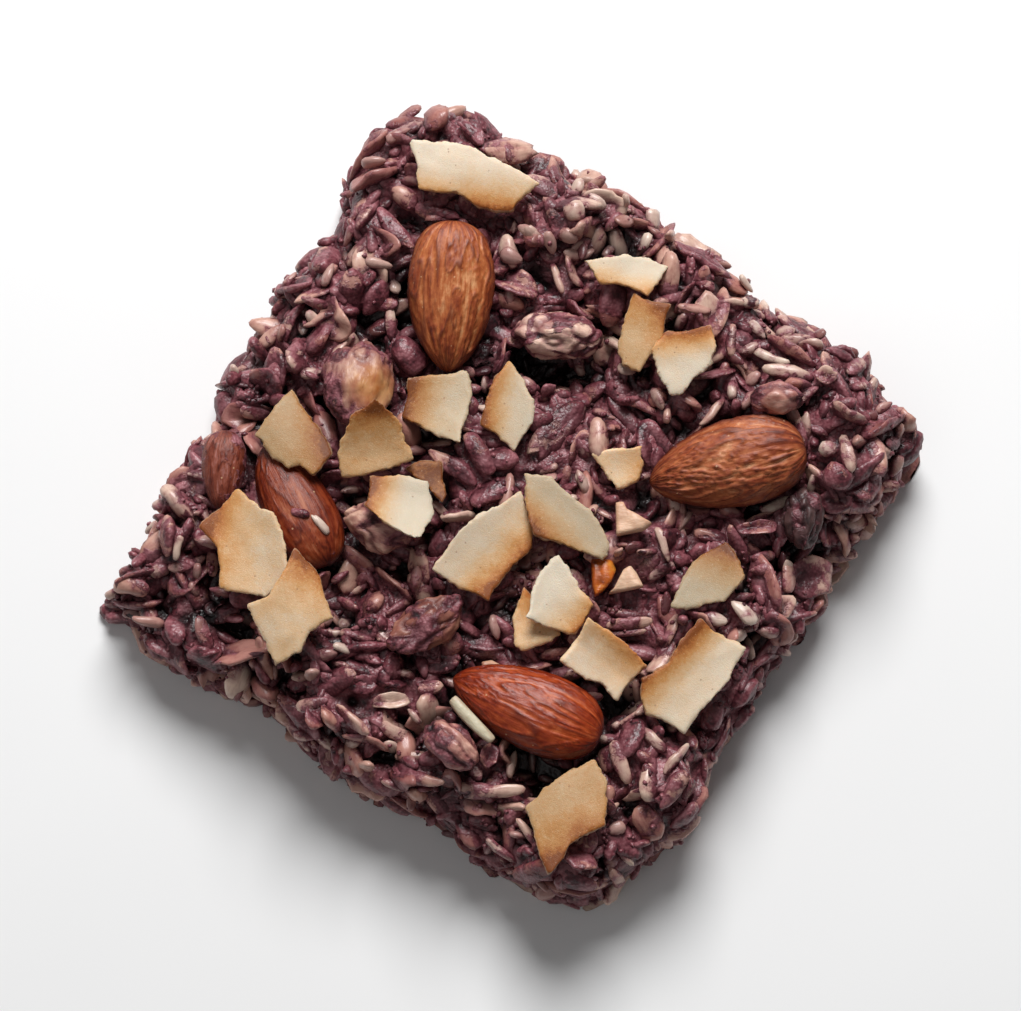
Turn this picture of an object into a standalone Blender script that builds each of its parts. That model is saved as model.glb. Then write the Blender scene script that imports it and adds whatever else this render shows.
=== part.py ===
"""A square homemade granola bar, topped with almonds, other nuts and toasted coconut chips.

Every length in the tables below is in millimetres and becomes metres in add_piece. The bar lies
on its flat underside, +Z up, with its sides along X and Y. The baked mass of oats and seeds is
one uneven slab. Nuts sit in sockets cut into it, and the coconut chips are dropped on top one
after another, each coming to rest just above whatever already lies there.
"""

import math

import bmesh
import bpy
import numpy as np
from mathutils import Matrix, Vector, noise
from mathutils.bvhtree import BVHTree

METRES_PER_MM = 0.001
GAP = 0.3

# ---- Slab ----------------------------------------------------------------------------------

MEAN_TOP = 17.0
CORNER_SW = (-48.1, -44.9)
CORNER_NW = (-44.0, 49.8)
CORNER_NE = (46.0, 43.4)
CORNER_SE = (41.4, -43.4)

# How far each side stands out of the straight line between its corners, at even steps.
WEST_BULGES = (-2.4, -0.3, -0.1, 2.0, 3.1, 3.1, 1.7, 5.0, 5.0)
NORTH_BULGES = (0.6, 1.1, 3.3, 3.5, 3.8, 2.8, 2.3, 3.8, 1.6)
EAST_BULGES = (-0.6, 0.0, -0.4, 0.8, 0.0, 0.6, 1.4, 3.5, 0.2)
SOUTH_BULGES = (1.4, 2.3, 0.7, 2.2, 2.5, 0.2, 0.1, 1.3, 0.0)

TOP_CELLS = 36
# From the top edge to the base: share of the height that is left, and how far in the wall is.
WALL_ROWS = ((1.0, 1.9), (0.8, 0.5), (0.52, 0.0), (0.25, 0.2), (0.0, 0.8))
WALL_ROUGHNESS = 1.3
CORNER_INSET = 1.2
CORNER_REACH = 4.5
RIM_WIDTH = 5.0
RIM_DROP = 2.6

# Clumps that stand out of the top and hollows that sink into it: x, y, radius, height.
CLUMPS = (
    (-38, 44, 5, 2.0), (-45, 32, 5, 1.5), (-36, 33, 6, 1.5), (-21, 44, 6, 2.0), (-12, 42, 5, 1.8),
    (4, 41, 7, 2.2), (25, 43, 7, 2.0), (34, 40, 6, 2.2), (24, 35, 5, 2.0), (37, 31, 7, 2.8),
    (-44, 9, 6, 1.6), (-40, 19, 7, 2.0), (-4, 12, 5, 1.2), (-9, 1, 6, 1.2), (20, 4, 6, 1.5),
    (-2, -21, 6, 2.2), (-11, -32, 7, 2.4), (-6, -40, 6, 2.2), (11, -34, 6, 2.2), (10, -40, 5, 2.0),
    (38, -22, 7, 2.4), (37, -37, 7, 2.2), (-43, -29, 5, 1.4), (-25, -35, 6, 1.2), (-41, -17, 5, 1.5),
)
HOLLOWS = (
    (-40, 29, 3.0, 2.6), (-27, 36, 3.5, 2.4), (-32, 15, 3.5, 2.8), (-17, 24, 3.0, 2.8),
    (-20, 12, 3.0, 2.4), (-5, 22, 4.5, 4.0), (-45, 4, 3.0, 2.0), (5, 21, 3.5, 2.6),
    (25, 12, 5.0, 3.0), (41, 21, 3.0, 2.4), (38, 14, 4.0, 3.0), (41, 3, 3.0, 2.4),
    (41, -12, 3.0, 2.0), (29, -17, 3.5, 3.0), (22, -31, 4.0, 3.8), (21, -40, 3.5, 2.6),
    (-36, -35, 4.0, 4.2), (-38, -41, 4.0, 2.6), (-25, -41, 3.0, 2.0), (-14, -40, 3.0, 2.4),
    (-14, -23, 4.0, 2.8), (-28, -4, 3.0, 2.0), (-41, -12, 3.0, 2.4), (-4, 29, 3.0, 2.6),
)
SMALL_CLUMP_SIZE = 8.5
SMALL_CLUMP_HEIGHT = 3.0

# ---- Nuts ----------------------------------------------------------------------------------

# Whole almonds: x and y of the middle, heading of the blunt end in degrees, length, width,
# thickness, rise of the middle over the slab, tilt of the blunt end up, and roll.
ALMONDS = {
    "almond_1": (-25.7, 21.8, 120, 22.6, 12.8, 8.6, 2.2, 9, 4),
    "almond_2": (22.6, 22.3, 44, 23.6, 12.8, 8.8, 1.9, 6, 12),
    "almond_3": (16.8, -24.2, 10, 23.4, 12.0, 8.4, 1.6, 2, -8),
    "almond_4": (-28.4, -16.9, 330, 20.5, 10.6, 7.6, 0.2, 2, -6),
    "almond_5": (-40.2, -18.3, 120, 12.0, 6.6, 6.0, 0.6, 0, -15),
}
ALMOND_SEGMENTS = 12
ALMOND_RINGS = 10
# The width along an almond is t to the first power and 1 - t to the second, with t from the tip.
TIP_POWER = 0.64
BLUNT_POWER = 0.40
FLAT_SECTION = 0.9

# Broken and coated nuts and fruit: x, y, heading, length, width, height, rise, tilt, lobes,
# depth of the grooves between the lobes.
CHUNKS = {
    "nut_chunk": (-30.2, 3.6, 112, 14.0, 11.5, 8.5, 1.8, -6, 3, 0.08),
    "walnut_piece": (-9.2, 25.8, 30, 14.2, 8.4, 7.5, 1.4, 0, 4, 0.14),
    "pecan_piece": (-15.6, -12.6, 20, 12.6, 9.4, 7.5, 1.6, 4, 2, 0.16),
    "almond_half": (-2.2, -21.8, 66, 13.8, 8.4, 6.0, 1.2, -4, 2, 0.12),
    "date_piece": (36.2, 21.6, 120, 10.4, 6.6, 6.6, 1.6, 0, 3, 0.05),
    "cashew_piece": (23.6, 34.2, 30, 8.6, 5.6, 5.4, 2.0, 4, 2, 0.10),
    "coated_nut": (10.6, -34.9, -4, 9.6, 6.8, 6.4, 1.4, 4, 3, 0.08),
}
CHUNK_SEGMENTS = 12
CHUNK_RINGS = 6

# ---- Coconut chips -------------------------------------------------------------------------

CHIP_THICKNESS = 0.9
CHIP_MAX_SLOPE = 0.40
LONG_EDGE = 4.5
CELL = 0.5

# In the order in which they land. Each chip has the middle of its outline, the heading of the
# axis that it curls about, the rise of its edges over its middle (less than 0 for a chip that
# arches), and the corners of its outline round that middle, anticlockwise.
CHIPS = (
    ((-32.1, 38.6), 30, -0.9,
     ((-11.2, -0.2), (-6.3, -6.0), (-0.8, -3.1), (2.5, -3.3), (7.1, -0.9), (8.5, 5.1), (4.2, 4.9),
      (-2.3, 4.2), (-7.8, 1.8))),
    ((-5.3, 38.9), 50, 0.5,
     ((-6.3, -2.2), (-2.4, -4.0), (-0.3, -2.6), (4.5, -1.6), (4.7, 4.2), (0.9, 3.5), (-3.7, 0.3))),
    ((1.8, 32.0), -70, -0.6,
     ((-4.7, 4.7), (-3.9, 1.3), (-2.0, -3.7), (-0.1, -5.5), (2.5, -5.0), (2.7, 1.8), (1.6, 3.6),
      (1.1, 6.3), (-1.5, 5.0))),
    ((8.2, 31.7), -60, 0.6,
     ((-4.0, 2.1), (-4.2, -1.3), (-1.4, -3.6), (1.7, -5.3), (3.3, -3.9), (4.6, 1.5), (3.8, 4.3),
      (1.5, 6.6), (-0.6, 4.7))),
    ((-18.6, 7.2), 65, 0.7,
     ((-5.7, 0.5), (-4.5, -1.9), (-3.5, -5.0), (3.0, -4.4), (6.5, -4.0), (3.9, 3.4), (1.0, 6.8),
      (-0.6, 4.9))),
    ((-9.4, 13.0), -60, 0.8,
     ((-3.8, 5.5), (-4.2, 1.7), (-2.1, -5.5), (2.7, -5.5), (4.5, -6.3), (4.4, -1.2), (2.7, 2.0),
      (-0.5, 4.0))),
    ((9.2, 13.9), 20, 0.3,
     ((-4.8, -1.0), (-2.2, -2.0), (1.6, -3.5), (3.6, -0.3), (1.2, 4.0), (-1.8, 1.5))),
    ((-33.0, -8.2), -15, -0.7,
     ((-6.0, 1.3), (-6.0, -3.3), (1.1, -5.0), (2.0, -3.6), (5.2, -4.2), (5.6, 0.3), (1.3, 2.9),
      (-2.6, 4.4), (-5.3, 5.7))),
    ((-13.0, -2.8), 25, 0.3,
     ((-4.7, -1.1), (3.2, -2.7), (3.2, -1.1), (-0.4, 2.9), (-3.2, 1.3))),
    ((-23.8, -3.3), 40, 0.7,
     ((-4.4, 1.4), (-3.4, -4.1), (-0.8, -6.8), (1.8, -4.9), (6.9, 1.3), (2.1, 4.7), (-2.3, 5.5))),
    ((-14.2, -9.3), 15, 0.8,
     ((-6.7, 1.4), (-4.8, -3.0), (2.6, -3.7), (4.9, -3.1), (4.2, 1.9), (1.1, 5.6))),
    ((-31.0, -26.7), -35, 0.9,
     ((-5.6, 7.3), (-7.5, -1.0), (-3.6, -2.1), (0.4, -6.9), (2.7, -6.3), (7.1, -4.7), (7.6, 0.6),
      (5.6, 3.0), (1.3, 6.5), (-3.4, 6.6))),
    ((-18.9, -31.3), -30, -1.2,
     ((-5.4, 8.3), (-4.6, 0.1), (-6.8, -2.7), (1.7, -8.0), (3.9, -4.1), (3.2, -0.9), (5.1, 2.7),
      (-0.1, 7.0))),
    ((-0.2, -8.0), 75, 0.9,
     ((-0.9, 10.5), (-4.1, 4.0), (-5.5, -0.2), (-5.8, -6.8), (-1.8, -6.9), (4.1, -6.2), (3.7, -4.2),
      (5.3, 4.3))),
    ((6.6, 2.4), -15, 0.9,
     ((-8.4, 2.3), (-6.0, -1.3), (-2.3, -5.0), (4.8, -3.2), (8.3, -2.2), (7.6, 0.3), (2.6, 2.9),
      (-4.8, 4.1))),
    ((10.6, -13.6), 60, 0.4,
     ((-3.7, 4.2), (-2.6, -0.9), (0.1, -4.1), (1.4, -3.6), (4.6, 1.2), (0.5, 2.5))),
    ((11.7, -8.6), -45, 0.8,
     ((-2.9, 5.8), (-3.6, 4.3), (-3.5, -0.5), (-1.9, -4.9), (2.7, -4.0), (5.5, -2.9), (5.5, 2.2),
      (-0.6, 5.1))),
    ((23.0, -12.6), 0, 0.8,
     ((-5.5, 4.0), (-5.6, -3.4), (0.3, -3.4), (1.1, -2.9), (4.4, -3.7), (5.6, 3.3), (-1.8, 4.0))),
    ((34.5, -8.0), 80, 1.1,
     ((-3.2, 8.4), (-3.6, 5.1), (-3.6, 0.0), (-5.8, -3.9), (-2.6, -7.9), (1.0, -7.2), (4.0, -7.5),
      (4.8, -0.9), (5.4, 2.8), (5.1, 8.5), (2.0, 8.1))),
    ((29.3, 6.6), -65, 0.5,
     ((-0.8, 6.1), (-2.9, 2.3), (-3.1, -4.1), (-2.6, -7.1), (-0.1, -5.9), (3.8, -2.2), (4.5, 2.2),
      (4.2, 3.0))),
    ((30.4, -35.3), -60, -0.8,
     ((-1.0, 10.0), (-3.7, 6.1), (-5.8, -1.4), (-2.7, -4.1), (2.4, -8.5), (2.7, -7.4), (2.6, -2.8),
      (5.4, 2.2), (2.2, 7.8))),
)

# Base colour, roughness and metallic value of each material.
GRANOLA_LOOK = ((0.10, 0.045, 0.06, 1.0), 0.6, 0.0)
ALMOND_LOOK = ((0.30, 0.10, 0.035, 1.0), 0.45, 0.0)
NUT_LOOK = ((0.22, 0.09, 0.07, 1.0), 0.5, 0.0)
CHIP_LOOK = ((0.80, 0.62, 0.38, 1.0), 0.6, 0.0)


def clear_scene():
    for thing in list(bpy.data.objects):
        bpy.data.objects.remove(thing, do_unlink=True)


def make_material(name, look):
    colour, roughness, metallic = look
    material = bpy.data.materials.new(name)
    material.use_nodes = True
    shader = material.node_tree.nodes["Principled BSDF"]
    shader.inputs["Base Color"].default_value = colour
    shader.inputs["Roughness"].default_value = roughness
    shader.inputs["Metallic"].default_value = metallic
    return material


def add_piece(name, vertices, faces, look):
    """One closed object from points in millimetres, with a material of its own."""
    mesh = bpy.data.meshes.new(name)
    mesh.from_pydata([Vector(v) * METRES_PER_MM for v in vertices], [], faces)
    outward = bmesh.new()
    outward.from_mesh(mesh)
    bmesh.ops.recalc_face_normals(outward, faces=outward.faces)
    outward.to_mesh(mesh)
    outward.free()
    mesh.shade_smooth()
    mesh.materials.append(make_material(name, look))
    piece = bpy.data.objects.new(name, mesh)
    bpy.context.collection.objects.link(piece)
    return piece


# ---- Slab ----------------------------------------------------------------------------------

def smooth_between(values, place):
    """The value at a place from 0 to 1 along evenly spaced values, on a Catmull-Rom curve."""
    steps = len(values) - 1
    index = min(int(place * steps), steps - 1)
    t = place * steps - index
    before = values[max(index - 1, 0)]
    start = values[index]
    end = values[index + 1]
    after = values[min(index + 2, steps)]
    return 0.5 * (2 * start + (end - before) * t
                  + (2 * before - 5 * start + 4 * end - after) * t ** 2
                  + (3 * start - before - 3 * end + after) * t ** 3)


def side_point(start, end, bulges, place):
    """A point of an uneven side; the side stands out to the left of the way from start to end."""
    start = Vector(start)
    along = Vector(end) - start
    outward = Vector((-along.y, along.x)).normalized()
    return start + along * place + outward * smooth_between((0.0, *bulges, 0.0), place)


def outline_point(u, v, side):
    """A point of the four sides of the bar; u runs along X and v along Y, from 0 to 1."""
    if side == "west":
        return side_point(CORNER_SW, CORNER_NW, WEST_BULGES, v)
    if side == "north":
        return side_point(CORNER_NW, CORNER_NE, NORTH_BULGES, u)
    if side == "east":
        return side_point(CORNER_NE, CORNER_SE, EAST_BULGES, 1 - v)
    return side_point(CORNER_SE, CORNER_SW, SOUTH_BULGES, 1 - u)


def plan_point(u, v):
    """A point inside the four uneven sides, blended from them (a Coons patch)."""
    across = outline_point(u, v, "west").lerp(outline_point(u, v, "east"), u)
    up = outline_point(u, v, "south").lerp(outline_point(u, v, "north"), v)
    low = Vector(CORNER_SW).lerp(Vector(CORNER_SE), u)
    high = Vector(CORNER_NW).lerp(Vector(CORNER_NE), u)
    return across + up - low.lerp(high, v)


def drawn_in(point, distance):
    """The point moved towards the middle of the bar, and further close to a corner."""
    corners = (CORNER_SW, CORNER_NW, CORNER_NE, CORNER_SE)
    nearest = min((point - Vector(corner)).length for corner in corners)
    distance += CORNER_INSET * math.exp(-(nearest / CORNER_REACH) ** 2)
    return point * (1 - distance / point.length)


def bump(x, y, spot):
    """A round rise at a spot (x, y, radius, height)."""
    distance = math.hypot(x - spot[0], y - spot[1]) / spot[2]
    return spot[3] * math.exp(-distance ** 2)


def small_clumps(x, y):
    """Rounded clumps side by side, with creases where they meet."""
    place = Vector((x, y, 0.0)) / SMALL_CLUMP_SIZE
    nearest, second = noise.voronoi(place)[0][:2]
    crease = max(0.0, 1.0 - (second - nearest) / 0.5)
    return SMALL_CLUMP_HEIGHT * (0.32 - nearest ** 2 - 0.6 * crease ** 2)


def open_top(x, y):
    """The height of the slab's top before any nut is pressed in."""
    height = MEAN_TOP + small_clumps(x, y)
    height += sum(bump(x, y, clump) for clump in CLUMPS)
    height -= sum(bump(x, y, hollow) for hollow in HOLLOWS)
    return height


def pressed_top(x, y, beds):
    """The height of the top where each nut (x, y, heading, length, width, level) lies in it."""
    height = open_top(x, y)
    for middle_x, middle_y, heading, length, width, level in beds:
        along = math.cos(heading) * (x - middle_x) + math.sin(heading) * (y - middle_y)
        aside = math.cos(heading) * (y - middle_y) - math.sin(heading) * (x - middle_x)
        away = math.hypot(along / (length * 0.6), aside / (width * 0.6))
        share = min(max((1.35 - away) / 0.35, 0.0), 1.0)
        height += share * min(level - height, 0.0)
    return height


def rim_share(u, v):
    """1 in the middle of the bar, falling to 0 at its edge over the width of the rim."""
    edge = min(u, 1 - u, v, 1 - v) * abs(CORNER_NE[0] - CORNER_NW[0]) / RIM_WIDTH
    return math.sin(min(edge, 1.0) * math.pi / 2)


def build_slab(beds):
    """The uneven slab: a top grid, rough walls round it and one flat face below."""
    count = TOP_CELLS
    vertices = []
    faces = []
    for row in range(count + 1):
        for column in range(count + 1):
            u = column / count
            v = row / count
            point = drawn_in(plan_point(u, v), WALL_ROWS[0][1])
            height = pressed_top(point.x, point.y, beds) - RIM_DROP * (1 - rim_share(u, v))
            vertices.append((point.x, point.y, height))
    for row in range(count):
        for column in range(count):
            corner = row * (count + 1) + column
            faces.append((corner, corner + 1, corner + count + 2, corner + count + 1))

    round_the_top = [(column, 0) for column in range(count)]
    round_the_top += [(count, row) for row in range(count)]
    round_the_top += [(column, count) for column in range(count, 0, -1)]
    round_the_top += [(0, row) for row in range(count, 0, -1)]
    edge = [row * (count + 1) + column for column, row in round_the_top]
    above = edge
    for share, inset in WALL_ROWS[1:]:
        below = []
        for (column, row), top_index in zip(round_the_top, edge):
            height = vertices[top_index][2] * share
            point = plan_point(column / count, row / count)
            rough = noise.noise(Vector((point.x, point.y, height * 1.4)) / 5.0)
            if share == 0.0:
                rough *= 0.4
            point = drawn_in(point, inset + WALL_ROUGHNESS * rough)
            below.append(len(vertices))
            vertices.append((point.x, point.y, height))
        for i in range(len(below)):
            j = (i + 1) % len(below)
            faces.append((above[i], above[j], below[j], below[i]))
        above = below
    faces.append(tuple(above))
    return add_piece("granola_slab", vertices, faces, GRANOLA_LOOK)


# ---- Nuts ----------------------------------------------------------------------------------

def closed_rings(rings, first_pole, last_pole):
    """Vertices and faces of a closed form from rings of equal size between two poles."""
    size = len(rings[0])
    vertices = [first_pole]
    for ring in rings:
        vertices.extend(ring)
    vertices.append(last_pole)
    last = len(vertices) - 1
    faces = []
    for i in range(size):
        j = (i + 1) % size
        faces.append((0, 1 + i, 1 + j))
        for row in range(len(rings) - 1):
            here = 1 + row * size
            there = here + size
            faces.append((here + i, there + i, there + j, here + j))
        end = 1 + (len(rings) - 1) * size
        faces.append((last, end + j, end + i))
    return vertices, faces


def almond_shape(length, width, thickness):
    """An almond along X: pointed at -X, blunt at +X, and flatter than round."""
    widest = TIP_POWER / (TIP_POWER + BLUNT_POWER)
    most = widest ** TIP_POWER * (1 - widest) ** BLUNT_POWER
    rings = []
    for step in range(1, ALMOND_RINGS + 1):
        t = 0.5 - 0.5 * math.cos(math.pi * step / (ALMOND_RINGS + 1))
        share = t ** TIP_POWER * (1 - t) ** BLUNT_POWER / most
        ring = []
        for segment in range(ALMOND_SEGMENTS):
            angle = 2 * math.pi * segment / ALMOND_SEGMENTS
            sine = math.sin(angle)
            ring.append(((t - 0.5) * length,
                         math.cos(angle) * share * width / 2,
                         math.copysign(abs(sine) ** FLAT_SECTION, sine) * share * thickness / 2))
        rings.append(ring)
    return closed_rings(rings, (-length / 2, 0, 0), (length / 2, 0, 0))


def chunk_shape(length, width, height, lobes, groove, seed):
    """A broken nut: a rounded form along X with lobes and grooves across it."""
    rings = []
    for step in range(1, CHUNK_RINGS + 1):
        polar = math.pi * step / (CHUNK_RINGS + 1)
        ring = []
        for segment in range(CHUNK_SEGMENTS):
            angle = 2 * math.pi * segment / CHUNK_SEGMENTS
            spot = Vector((-math.cos(polar),
                           math.sin(polar) * math.cos(angle),
                           math.sin(polar) * math.sin(angle)))
            swell = 1.0 - groove * abs(math.sin(lobes * polar)) * (0.5 + 0.5 * math.cos(2 * angle))
            swell += 0.22 * noise.noise(spot * 1.3 + Vector((seed * 7.3, 0, 0)))
            ring.append((spot.x * length / 2 * swell,
                         spot.y * width / 2 * swell,
                         spot.z * height / 2 * swell))
        rings.append(ring)
    return closed_rings(rings, (-length / 2, 0, 0), (length / 2, 0, 0))


def placed(vertices, middle, heading, tilt, roll=0.0):
    """Points turned about X by roll, about Y by tilt and about Z by heading, then moved."""
    turn = (Matrix.Rotation(math.radians(heading), 3, "Z")
            @ Matrix.Rotation(math.radians(-tilt), 3, "Y")
            @ Matrix.Rotation(math.radians(roll), 3, "X"))
    return [turn @ Vector(v) + Vector(middle) for v in vertices]


def bed_level(x, y, width):
    """The mean height of the open top round a spot."""
    around = [(x + math.cos(a) * width / 2, y + math.sin(a) * width / 2)
              for a in (k * math.pi / 3 for k in range(6))]
    return sum(open_top(a, b) for a, b in around) / len(around)


def build_nuts():
    """All the almonds and chunks, with the beds that they press into the slab."""
    nuts = []
    beds = []
    for name, row in ALMONDS.items():
        x, y, heading, length, width, thickness, rise, tilt, roll = row
        level = bed_level(x, y, width) + rise
        vertices, faces = almond_shape(length, width, thickness)
        vertices = placed(vertices, (x, y, level), heading, tilt, roll)
        nuts.append(add_piece(name, vertices, faces, ALMOND_LOOK))
        beds.append((x, y, math.radians(heading), length, width, level - 0.3))
    for seed, (name, row) in enumerate(CHUNKS.items()):
        x, y, heading, length, width, height, rise, tilt, lobes, groove = row
        level = bed_level(x, y, width) + rise
        vertices, faces = chunk_shape(length, width, height, lobes, groove, seed)
        vertices = placed(vertices, (x, y, level), heading, tilt)
        nuts.append(add_piece(name, vertices, faces, NUT_LOOK))
        beds.append((x, y, math.radians(heading), length, width, level - 0.3))
    return nuts, beds


def cut_socket(slab, nut):
    """Takes the nut's form, grown by the gap, out of the slab."""
    cutter = nut.copy()
    cutter.data = nut.data.copy()
    cutter.name = nut.name + "_socket"
    for vertex in cutter.data.vertices:
        vertex.co += vertex.normal * (GAP * 1.25) * METRES_PER_MM
    cutter.hide_render = True
    cutter.display_type = "WIRE"
    bpy.context.collection.objects.link(cutter)
    cut = slab.modifiers.new(cutter.name, "BOOLEAN")
    cut.operation = "DIFFERENCE"
    cut.object = cutter


# ---- Coconut chips -------------------------------------------------------------------------

class Surface:
    """The height of everything that has landed so far, on a square grid of cells."""

    def __init__(self):
        self.reach = 52.0
        self.count = int(2 * self.reach / CELL)
        self.heights = np.zeros((self.count, self.count))
        centres = (np.arange(self.count) + 0.5) * CELL - self.reach
        self.x, self.y = np.meshgrid(centres, centres, indexing="ij")

    def add(self, piece):
        """Raises the cells to the top of a piece."""
        vertices = [v.co / METRES_PER_MM for v in piece.data.vertices]
        tree = BVHTree.FromPolygons(vertices, [tuple(p.vertices) for p in piece.data.polygons])
        low = [min(v[axis] for v in vertices) for axis in range(2)]
        high = [max(v[axis] for v in vertices) for axis in range(2)]
        first = [max(int((low[axis] + self.reach) / CELL), 0) for axis in range(2)]
        last = [min(int((high[axis] + self.reach) / CELL) + 1, self.count) for axis in range(2)]
        for i in range(first[0], last[0]):
            for j in range(first[1], last[1]):
                start = Vector((self.x[i, j], self.y[i, j], 60.0))
                hit = tree.ray_cast(start, Vector((0, 0, -1)))[0]
                if hit is not None:
                    self.heights[i, j] = max(self.heights[i, j], hit.z)

    def under(self, outline):
        """The cells inside an outline, as a mask."""
        inside = np.zeros(self.x.shape, dtype=bool)
        for (ax, ay), (bx, by) in zip(outline, outline[1:] + outline[:1]):
            crosses = (ay > self.y) != (by > self.y)
            slope = (bx - ax) / (by - ay) if by != ay else 0.0
            inside ^= crosses & (self.x < ax + (self.y - ay) * slope)
        return inside


def fine_outline(corners):
    """The outline with a point, set off a little to either side, halfway along each long edge."""
    points = []
    for i, (x, y) in enumerate(corners):
        next_x, next_y = corners[(i + 1) % len(corners)]
        points.append((x, y))
        if math.hypot(next_x - x, next_y - y) > LONG_EDGE:
            off = 0.05 if i % 2 else -0.04
            points.append(((x + next_x) / 2 + off * (next_y - y),
                           (y + next_y) / 2 - off * (next_x - x)))
    return points


def build_chip(number, middle, heading, rise, corners, surface):
    """A thin curled chip whose underside follows the slope of what lies below it."""
    outline = fine_outline(corners)
    in_place = [(x + middle[0], y + middle[1]) for x, y in outline]
    grown = [(x * 1.06 + middle[0], y * 1.06 + middle[1]) for x, y in outline]
    cells = surface.under(grown)
    x = surface.x[cells] - middle[0]
    y = surface.y[cells] - middle[1]
    below = surface.heights[cells]

    slope_x, slope_y, level = np.linalg.lstsq(np.stack([x, y, np.ones_like(x)], 1), below,
                                              rcond=None)[0]
    steep = max(math.hypot(slope_x, slope_y) / CHIP_MAX_SLOPE, 1.0)
    slope_x /= steep
    slope_y /= steep
    half = max(math.hypot(px, py) for px, py in outline)
    side_x = -math.sin(math.radians(heading))
    side_y = math.cos(math.radians(heading))

    def underside(px, py):
        curl = rise * ((side_x * px + side_y * py) / (half * 0.6)) ** 2
        return slope_x * px + slope_y * py + curl

    lift = float(np.max(below - underside(x, y))) + GAP * 1.3

    rings = []
    for share in (1.0, 0.5):
        rings.append([(px * share, py * share) for px, py in outline])
    size = len(outline)
    layers = []
    for thickness in (0.0, CHIP_THICKNESS):
        layer = [(px + middle[0], py + middle[1], underside(px, py) + lift + thickness)
                 for ring in rings for px, py in ring]
        layer.append((middle[0], middle[1], underside(0, 0) + lift + thickness))
        layers.append(layer)
    stride = len(layers[0])
    faces = []
    for i in range(size):
        j = (i + 1) % size
        faces.append((i, i + size, j + size, j))
        faces.append((i + size, 2 * size, j + size))
        faces.append((i + stride, j + stride, j + size + stride, i + size + stride))
        faces.append((i + size + stride, j + size + stride, 2 * size + stride))
        faces.append((i, j, j + stride, i + stride))
    chip = add_piece(f"coconut_chip_{number:02d}", layers[0] + layers[1], faces, CHIP_LOOK)
    surface.add(chip)
    return chip


# ---- The whole bar -------------------------------------------------------------------------

def stand_at_origin(pieces):
    """Moves all the pieces together so that the middle of their base is the origin."""
    points = [v.co for piece in pieces for v in piece.data.vertices]
    low = [min(p[axis] for p in points) for axis in range(3)]
    high = [max(p[axis] for p in points) for axis in range(3)]
    shift = Vector((-(low[0] + high[0]) / 2, -(low[1] + high[1]) / 2, -low[2]))
    for thing in bpy.data.objects:
        thing.location = shift


def main():
    clear_scene()
    nuts, beds = build_nuts()
    slab = build_slab(beds)
    surface = Surface()
    for piece in [slab, *nuts]:
        surface.add(piece)
    for nut in nuts:
        cut_socket(slab, nut)
    chips = [build_chip(number, *row, surface) for number, row in enumerate(CHIPS, start=1)]
    stand_at_origin([slab, *nuts, *chips])


main()
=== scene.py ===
"""Looks of a square granola bar: oats, seeds and nuts in purple fruit paste, almonds and coconut.

Lengths are in millimetres, and mesh_of and Nodes turn them into metres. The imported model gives
the places: the slab is replaced by a core with paste and the real flakes, seeds and grains over
it, and each almond, nut and coconut chip by a finely shaped one in the same place.
"""

import itertools
import math

import bpy
import numpy as np
from mathutils import Matrix, Vector, noise
from mathutils.bvhtree import BVHTree


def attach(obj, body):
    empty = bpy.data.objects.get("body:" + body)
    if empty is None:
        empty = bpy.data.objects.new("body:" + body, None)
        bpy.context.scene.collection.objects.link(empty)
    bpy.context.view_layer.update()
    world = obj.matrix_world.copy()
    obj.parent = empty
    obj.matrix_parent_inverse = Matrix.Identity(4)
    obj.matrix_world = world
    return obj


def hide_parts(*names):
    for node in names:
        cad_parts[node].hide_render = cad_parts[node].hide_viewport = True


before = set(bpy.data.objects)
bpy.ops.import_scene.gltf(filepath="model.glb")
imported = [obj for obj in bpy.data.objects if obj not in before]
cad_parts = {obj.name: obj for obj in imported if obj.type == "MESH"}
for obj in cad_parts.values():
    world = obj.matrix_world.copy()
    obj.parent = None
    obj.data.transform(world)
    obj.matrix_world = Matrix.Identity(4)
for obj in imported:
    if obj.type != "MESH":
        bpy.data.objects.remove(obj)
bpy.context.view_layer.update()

MM = 0.001
SEED = 11
rng = np.random.default_rng(SEED)

SLAB = "granola_slab"
ALMONDS = [f"almond_{n}" for n in range(1, 6)]
CHUNKS = ["nut_chunk", "walnut_piece", "pecan_piece", "almond_half", "date_piece",
          "cashew_piece", "coated_nut"]
CHIPS = [f"coconut_chip_{n:02d}" for n in range(1, 22)]

# How far above the floor the lowest point of a loose piece stays, in mm.
FLOOR_GAP = 0.02
# Shifts that give noise of its own to each axis.
AXIS_SHIFTS = (Vector((9.3, -1.5, -8.0)), Vector((0.0, 0.0, 0.0)), Vector((6.3, 0.2, -2.7)))


# ---- Meshes ----


def add_object(name, data):
    """A new object in the scene."""
    thing = bpy.data.objects.new(name, data)
    bpy.context.scene.collection.objects.link(thing)
    return thing


def mesh_of(name, points, faces):
    """A mesh from points in millimetres."""
    mesh = bpy.data.meshes.new(name)
    mesh.from_pydata((np.asarray(points) * MM).tolist(), [], np.asarray(faces).tolist())
    return mesh


def arrays_of(mesh):
    """A mesh's points in millimetres, and the numbers of the points at its faces' corners."""
    points = np.empty(len(mesh.vertices) * 3)
    mesh.vertices.foreach_get("co", points)
    corners = np.empty(len(mesh.loops), dtype=np.int64)
    mesh.loops.foreach_get("vertex_index", corners)
    return points.reshape(-1, 3) / MM, corners


def node_mesh(name):
    """Welded points in millimetres, and triangles, of a CAD node."""
    points, corners = arrays_of(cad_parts[name].data)
    points, index = np.unique(np.round(points, 3), axis=0, return_inverse=True)
    return points, index.reshape(-1)[corners].reshape(-1, 3)


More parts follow.
